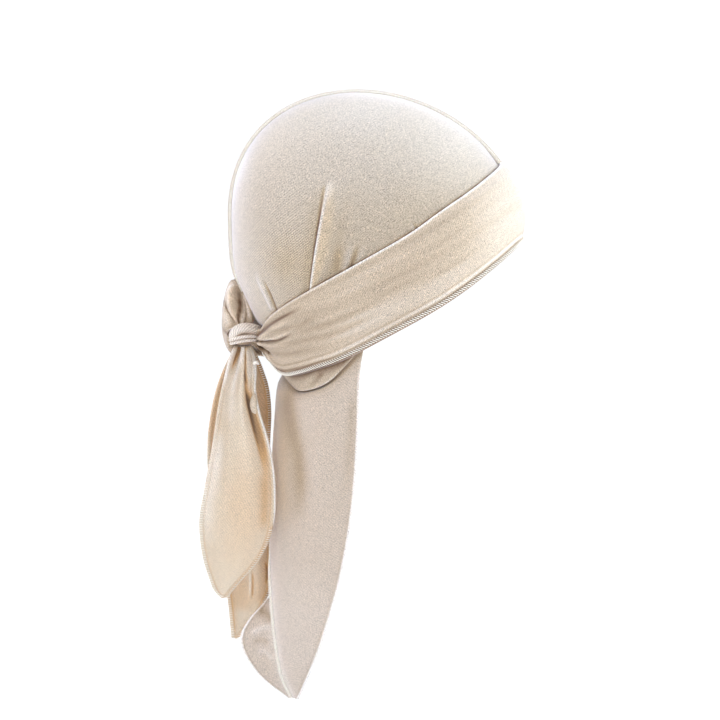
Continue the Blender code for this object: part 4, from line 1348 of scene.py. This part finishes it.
def strand(name, line, out, wide, deep, tone, seed, material, blunt=STRAND_BLUNT):
    """A soft flat tube along a line, puckered along it. A tone over 0 shades only its edges.

    A greater blunt keeps its full size nearer to its ends.
    """
    along = unit(np.gradient(line, axis=0))
    out = unit(out - (out * along).sum(-1, keepdims=True) * along)
    share = np.linspace(-1, 1, len(line))
    size = np.sqrt(np.maximum(1 - share**blunt, STRAND_END))
    angle, share = np.meshgrid(np.linspace(0, 2 * math.pi, STRAND_SIDES)[:-1], share, indexing="ij")
    size = size * (1 + uneven(angle * STRAND_ROUND, share * STRAND_LONG, *STRAND_PUCKER, seed,
                              2 * math.pi * STRAND_ROUND))
    around = (np.cos(angle) * wide * size)[..., None] * np.cross(along, out)
    around = around + (np.sin(angle) * deep * size)[..., None] * out
    light = STRAND_LIGHT[0] * bell(angle, math.pi / 2, STRAND_LIGHT[1])
    shade = max(tone, 0.0) * np.abs(np.cos(angle)) ** STRAND_EDGE - light + min(tone, 0.0)
    uv = np.stack((angle * wide, np.broadcast_to(lengths(line, 0), angle.shape)), axis=-1)
    return wall(name, line + around, line + around * STRAND_CORE, material, uv, shade,
                STRAND_KNIT if tone > 0 else PLAIN_KNIT, ring=True)


def knot(material):
    """A ball of wound cloth with the strands that show on its outside."""
    rows, columns = CORE_GRID
    around = np.linspace(0, 2 * math.pi, columns)[:-1]
    lat, lon = np.meshgrid(np.linspace(-math.pi / 2, math.pi / 2, rows), around)
    way = points(np.cos(lat) * np.cos(lon), np.cos(lat) * np.sin(lon), np.sin(lat))
    uv = np.stack((lon, lat), axis=-1) * CORE_CLOTH
    pieces = [wall("knot_core", KNOT + way * KNOT_HALF * CORE_SHARE, KNOT + way * KNOT_HALF * CORE_INSIDE,
                   material, uv, CORE_TONE, CORE_KNIT, ring=True)]
    for k, row in enumerate(KNOT_STRANDS):
        line = smooth_line(row.path, KNOT_PARTS)
        pieces.append(strand("knot_turn_%d" % k, line, line - KNOT, row.wide, row.deep, TURN_TONE, 20 + k,
                             material))
    return joined("knot_cloth", pieces)


def tail_grid(rows, share, across):
    """Points of a tail: share of the way down it, and across from its rear edge to its front one."""
    drop = mix(rows[0].drop, rows[-1].drop, share)
    rear, front, side, fold, curl = (
        read(rows, "drop", drop, column) for column in ("rear", "front", "side", "fold", "curl")
    )
    side = side - fold * np.cos(2 * math.pi * TAIL_WAVES * across)
    side = side + curl * np.sin(math.pi * ease(0.5, 1.0, across))
    return points(mix(rear, front, across), side, KNOT[2] - drop)


def inset(grid, far, distance):
    """The line of points at a distance from a grid's edge, where far is each point's own distance from it."""
    return np.array([
        [np.interp(distance, gone, row[:, axis]) for axis in range(3)] for gone, row in zip(far, grid)
    ])


def cord_pieces(name, middle, normal, down, seed, material):
    """The rolled cord along a tail's front edge, with the curl at its top and the lap where it turns over."""
    length = (down > CORD[0]) & (down < CORD[1])
    line, out = middle[length, -1], normal[length, -1]
    made = [strand(name + "_cord", line, out, CORD_WIDE, CORD_DEEP, LIT_CORD, seed, material)]
    for row in CORD_ENDS:
        line = smooth_line(row.path, CORD_PARTS)
        out = np.broadcast_to((0.0, -1.0, 0.0), line.shape)
        made.append(strand(name + "_" + row.name, line, out, row.wide, row.deep, row.tone, seed, material,
                           row.blunt))
    return made


def tail(name, rows, creases, corded, teeth, seed, material):
    """One tail of the strap, with the line for its stitches and their outward directions."""
    share, across = np.meshgrid(*(np.linspace(0, 1, count) for count in TAIL_GRID), indexing="ij")
    base = tail_grid(rows, share, across)
    u, v = lengths(base, 0), lengths(base, 1)
    width = v[:, -1:]
    edge = np.minimum(np.minimum(v, width - v), (u.max() - u) * TAIL_TIP_EDGE[0] + TAIL_TIP_EDGE[1])
    fold, tone, warmth = creased(base, creases)
    down = mix(rows[0].drop, rows[-1].drop, share)
    rear_in = ease(teeth[0] + REAR_TEETH_IN[0], teeth[0] + REAR_TEETH_IN[1], down)
    front_in = ease(teeth[1] + FRONT_TEETH_IN[0], teeth[1] + FRONT_TEETH_IN[1], down)
    # Painted shade under the stitch teeth near the edge, from where they start
    teeth_shade = fades(edge, TAIL_TEETH_SHADE) * across * mix(rear_in, front_in, across)
    tone += ease(*TAIL_TONE_IN, u) * (stripes(edge, TAIL_STITCH) + teeth_shade)
    swing = (fold + uneven(u, v, *TAIL_SWELL, seed)) * ease(*TAIL_FOLD_EDGE, edge)
    thick = hem(edge, *TAIL_HEM) * ease(*TAIL_HEM_IN, u)
    normal = normals_of(base)
    outer = base + normal * (swing + thick)[..., None]
    inner = base + normal * (swing - TAIL_CLOTH - thick)[..., None]
    made = wall(name, outer, inner, material, sheet_uv(base), tone, warmth=warmth,
                bulge=TAIL_CLOTH * TAIL_BULGE, kept=TAIL_KEPT)
    middle, down = (outer + inner) / 2, down[:, 0]
    if corded:
        made = joined(name, [made, *cord_pieces(name, middle, normal, down, seed, material)])
    rear, front = inset(middle, v, TEETH_IN), inset(middle[:, ::-1], (width - v)[:, ::-1], TEETH_IN)
    first, second = (np.flatnonzero((down > start) & (width[:, 0] > 4 * TEETH_IN)) for start in teeth)
    second = second[::-1]
    ring = np.concatenate((rear[first], front[second]))
    return made, ring, np.concatenate(((middle[:, 0] - rear)[first], (middle[:, -1] - front)[second]))


# Cape


def line_points(rows, share):
    return points(*(read(rows, "share", share, axis) for axis in "xyz"))


def hung_points(hem_rows, side, share, across):
    """The cape's free part without its start: an arc from the seam to the hem, flatter at the tip."""
    start = line_points(CAPE_MIDDLE, share) + np.array((0, side * SEAM_HALF_ROOM, 0))
    end = line_points(hem_rows, share)
    angle = across * math.pi / 2
    arc = points(
        mix(end[..., 0], start[..., 0], np.cos(angle)),
        mix(start[..., 1], end[..., 1], np.sin(angle)),
        mix(start[..., 2], end[..., 2], across),
    )
    full = mix(CAPE_FULL_TOP, CAPE_FULL_TIP, share)[..., None]
    return mix(mix(start, end, across[..., None]), arc, full)


def under_strap_points(side, part, across, off):
    """The cape's top, which lies on the head from the crown's rim (0) to below the under wrap (1)."""
    turn = mix(180.0, CAPE_EDGE_TURN, across)
    up = mix(RIM - GAP, read(UNDER, "turn", turn, "low") - CAPE_BELOW, part)
    made = form_point(turn, up, off)
    made[..., 1] = side * np.hypot(made[..., 1], SEAM_HALF_ROOM)
    return made


def cape_points(hem_rows, side, share, across):
    """The cape's free part, which settles from the end of its top to its hung shape."""
    start = under_strap_points(side, 1.0, across, CAPE_CLOTH)
    away = start - hung_points(hem_rows, side, np.zeros_like(share), across)
    return hung_points(hem_rows, side, share, across) + away * ((1 - share) ** CAPE_SETTLE)[..., None]


def cape_half(name, hem_rows, side, creases, seed, material):
    """One half of the cape, with its edge beside the seam and how far down each of that edge's points is."""
    across = np.linspace(0, 1, CAPE_ACROSS)
    tops, parts = np.linspace(0, 1, CAPE_TOP_ROWS)[:-1], np.linspace(0, 1, CAPE_FREE_ROWS)
    shares = mix(parts**CAPE_TOP_CLOSER, ease(0.0, 1.0, parts), CAPE_TIP_CLOSER)
    top, free = (np.meshgrid(values, across, indexing="ij") for values in (tops, shares))
    base = np.concatenate((under_strap_points(side, *top, CAPE_CLOTH), cape_points(hem_rows, side, *free)))
    u, v = lengths(base, 0), lengths(base, 1)
    to_hem = v[:, -1:] - v
    below = ease(*CAPE_FREE, u)
    fold, tone, warmth = creased(base, creases)
    root_tone, root_long, root_power = CAPE_ROOT
    under_strap = np.maximum(u - u[len(tops)], 0.0) / root_long
    tone += root_tone * np.exp(-under_strap**root_power) + fades(base[..., 2], CAPE_TIP)
    tone += below * (stripes(to_hem, CAPE_STITCH) + fades(to_hem, CAPE_EDGE) + stripes(v, CAPE_SEAM_LIGHT))
    soft = sum(uneven(v, u, *swell, seed + k) for k, swell in enumerate(CAPE_SWELLS))
    swing = (fold + soft * below) * ease(*CAPE_FOLD_SEAM, v) * ease(*CAPE_FOLD_HEM, to_hem) * below
    thick = hem(to_hem, *CAPE_HEM) * ease(*CAPE_HEM_IN, u)
    normal = normals_of(base) * -side
    outer = base + normal * (swing + thick)[..., None]
    inner = base + normal * (swing - CAPE_CLOTH - CAPE_INNER_HEM * thick)[..., None]
    inner[:, 0, 1] = outer[:, 0, 1]
    made = wall(name, outer, inner, material, sheet_uv(base), tone, warmth=warmth, bulge=CAPE_BULGE,
                kept=CAPE_KEPT[side])
    return made, base[:, 0], u[:, 0]


def cape_seam(middle, gone, material):
    """The seam between the cape's halves, flat where the under wrap covers it, and its stitches' line."""
    shows = ease(CAPE_SEAM_SHOWS - CAPE_SEAM_FADE, CAPE_SEAM_SHOWS, gone)[:, None]
    back = np.array((-1.0, 0.0, 0.0))
    level = middle + np.array((0.0, SEAM_HALF_ROOM, 0.0))
    tops = level + back * CAPE_SEAM_PROUD * mix(CAPE_SEAM_COVERED, 1.0, shows)
    shown = gone > CAPE_SEAM_SHOWS
    made = seam_strip("cape_seam_strip", level - back * CAPE_CLOTH, tops, material)
    return made, tops[shown], np.broadcast_to(back, tops.shape)[shown]


# Studio


def area_light(name, place, power, colour):
    lamp = bpy.data.lights.new(name, "AREA")
    lamp.shape, lamp.size, lamp.energy, lamp.color = "DISK", LAMP_SIZE, power, colour
    made = link(name, lamp)
    made.location = place
    made.rotation_euler = (Vector(LAMP_AIM) - Vector(place)).to_track_quat("-Z", "Y").to_euler()


def stage_white():
    """White that glows from a distance on, so that the floor round the part stays a little darker."""
    material, net, shader = new_material("studio_white")
    place = net.node("ShaderNodeTexCoord", output=OBJECT_PLACE)
    away = net.node("ShaderNodeVectorMath", {"operation": "LENGTH"}, VECTOR_LENGTH, Vector=place)
    bright = net.node("ShaderNodeMapRange", {"interpolation_type": "SMOOTHSTEP"}, Value=away,
                      From_Min=STAGE_DIM, From_Max=STAGE_BRIGHT)
    net.set(shader, Base_Color=STAGE_GREY, Roughness=1.0, Emission_Color=net.blend(bright, BLACK, WHITE),
            Emission_Strength=STAGE_GLOW)
    return material


def studio():
    """A round white floor that curves up into a white wall on every side, and big soft lights."""
    profile = [(STAGE_FLAT + math.sin(a), 1 - math.cos(a)) for a in np.linspace(0, math.pi / 2, STAGE_BENDS)]
    profile.append((STAGE_FLAT + 1.0, STAGE_HIGH))
    around = np.linspace(0, 2 * math.pi, STAGE_SIDES + 1)[:-1]
    verts = [(r * math.cos(a), r * math.sin(a), FLOOR + up) for r, up in profile for a in around]
    ring = np.arange(STAGE_SIDES)
    after = np.roll(ring, -1)
    faces = [
        face[::-1]
        for k in range(0, STAGE_SIDES * (len(profile) - 1), STAGE_SIDES)
        for face in zip(ring + k, after + k, after + k + STAGE_SIDES, ring + k + STAGE_SIDES)
    ]
    mesh = bpy.data.meshes.new("studio_floor")
    mesh.from_pydata(verts, [], [*faces, range(STAGE_SIDES)])
    mesh.materials.append(stage_white())
    mesh.shade_smooth()
    link("studio_floor", mesh)
    world = bpy.data.worlds.new("studio")
    world.use_nodes = True
    Net(world.node_tree).set(world.node_tree.nodes["Background"], Color=WORLD_COLOUR, Strength=WORLD_LIGHT)
    bpy.context.scene.world = world
    for lamp in LAMPS:
        area_light(*lamp)


def camera():
    tilt = math.radians(CAMERA_ELEVATION)
    away = Vector((0, -math.cos(tilt), math.sin(tilt)))
    lens = bpy.data.cameras.new("camera")
    lens.lens, lens.sensor_width, lens.clip_end = CAMERA_LENS, CAMERA_SENSOR, CAMERA_REACH
    made = link("camera", lens)
    made.location = Vector(CAMERA_AIM) + away * CAMERA_DISTANCE
    made.rotation_euler = (-away).to_track_quat("-Z", "Y").to_euler()
    bpy.context.scene.camera = made


def dress(piece, slot, *nodes):
    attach(piece, "root")
    if nodes:
        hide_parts(*nodes)
    return piece


def main():
    crown = cloth("crown_cloth", (0.525, 0.452, 0.376), (0.56, 0.43, 0.28), 0.95, 0.9)
    strap = cloth("strap_cloth", (0.565, 0.455, 0.345), (0.52, 0.4, 0.285), 0.75, 0.4)
    tails = cloth("tail_cloth", (0.72, 0.605, 0.475), (0.76, 0.46, 0.22), 0.42, 0.25)
    # The knot is wound from the strap's cloth; its lighter colour is painted light, making up for the shade
    # that the scoop casts on it
    wound = cloth("knot_cloth", (0.74, 0.65, 0.58), (0.56, 0.4, 0.28), 0.45, 0.3)
    cape = cloth("cape_cloth", (0.56, 0.465, 0.385), (0.5, 0.375, 0.25), 0.65, 0.7)
    # The seam strips are of the same cloth; their far paler colour is painted light that makes them show as
    # bright lines
    pale_seam = cloth("seam_cloth", (0.9, 0.85, 0.77), (0.8, 0.7, 0.55), 0.3, 0.4)
    tan = overlock_tree(thread("tan_thread", (0.52, 0.4, 0.29)))
    cream = overlock_tree(thread("cream_thread", (0.93, 0.89, 0.81)))

    right = dress(crown_half("crown_right_cloth", -1, crown), "crown_cloth", "crown_right")
    left = dress(crown_half("crown_left_cloth", 1, crown), "crown_cloth", "crown_left")
    seam, line, out = crown_seam(pale_seam)
    dress(seam, "seam_thread", "crown_seam")
    loops = dress(overlock("crown_seam_stitches", tan, line, out, CROWN_STITCHES), "seam_thread")

    under = dress(under_wrap(strap), "strap_cloth", "under_wrap")
    wrap, line, out = forehead_wrap(strap)
    dress(wrap, "strap_cloth", "forehead_wrap")
    band_loops = dress(overlock("band_hem_stitches", cream, line, out, BAND_STITCHES), "seam_thread")
    tied = dress(knot(wound), "strap_cloth", "knot")

    tail_right, line, out = tail(
        "tail_right_cloth", TAIL_RIGHT, TAIL_RIGHT_CREASES, True, TEETH_RIGHT, 31, tails)
    dress(tail_right, "strap_cloth", "tail_right")
    right_loops = dress(overlock("tail_right_stitches", cream, line, out, TAIL_STITCHES), "seam_thread")
    tail_left, line, out = tail(
        "tail_left_cloth", TAIL_LEFT, TAIL_LEFT_CREASES, False, TEETH_LEFT, 41, tails)
    dress(tail_left, "strap_cloth", "tail_left")
    left_loops = dress(overlock("tail_left_stitches", cream, line, out, TAIL_STITCHES), "seam_thread")

    cape_right, middle, gone = cape_half("cape_right_cloth", CAPE_RIGHT_HEM, -1, CAPE_RIGHT_CREASES, 51, cape)
    dress(cape_right, "cape_cloth", "cape_right")
    cape_left = cape_half("cape_left_cloth", CAPE_LEFT_HEM, 1, CAPE_LEFT_CREASES, 61, cape)[0]
    dress(cape_left, "cape_cloth", "cape_left")
    seam, line, out = cape_seam(middle, gone, pale_seam)
    dress(seam, "seam_thread", "cape_seam")
    cape_loops = dress(overlock("cape_seam_stitches", cream, line, out, CAPE_STITCHES), "seam_thread")

    studio()
    camera()
    bpy.context.scene.view_settings.view_transform = "Standard"


main()
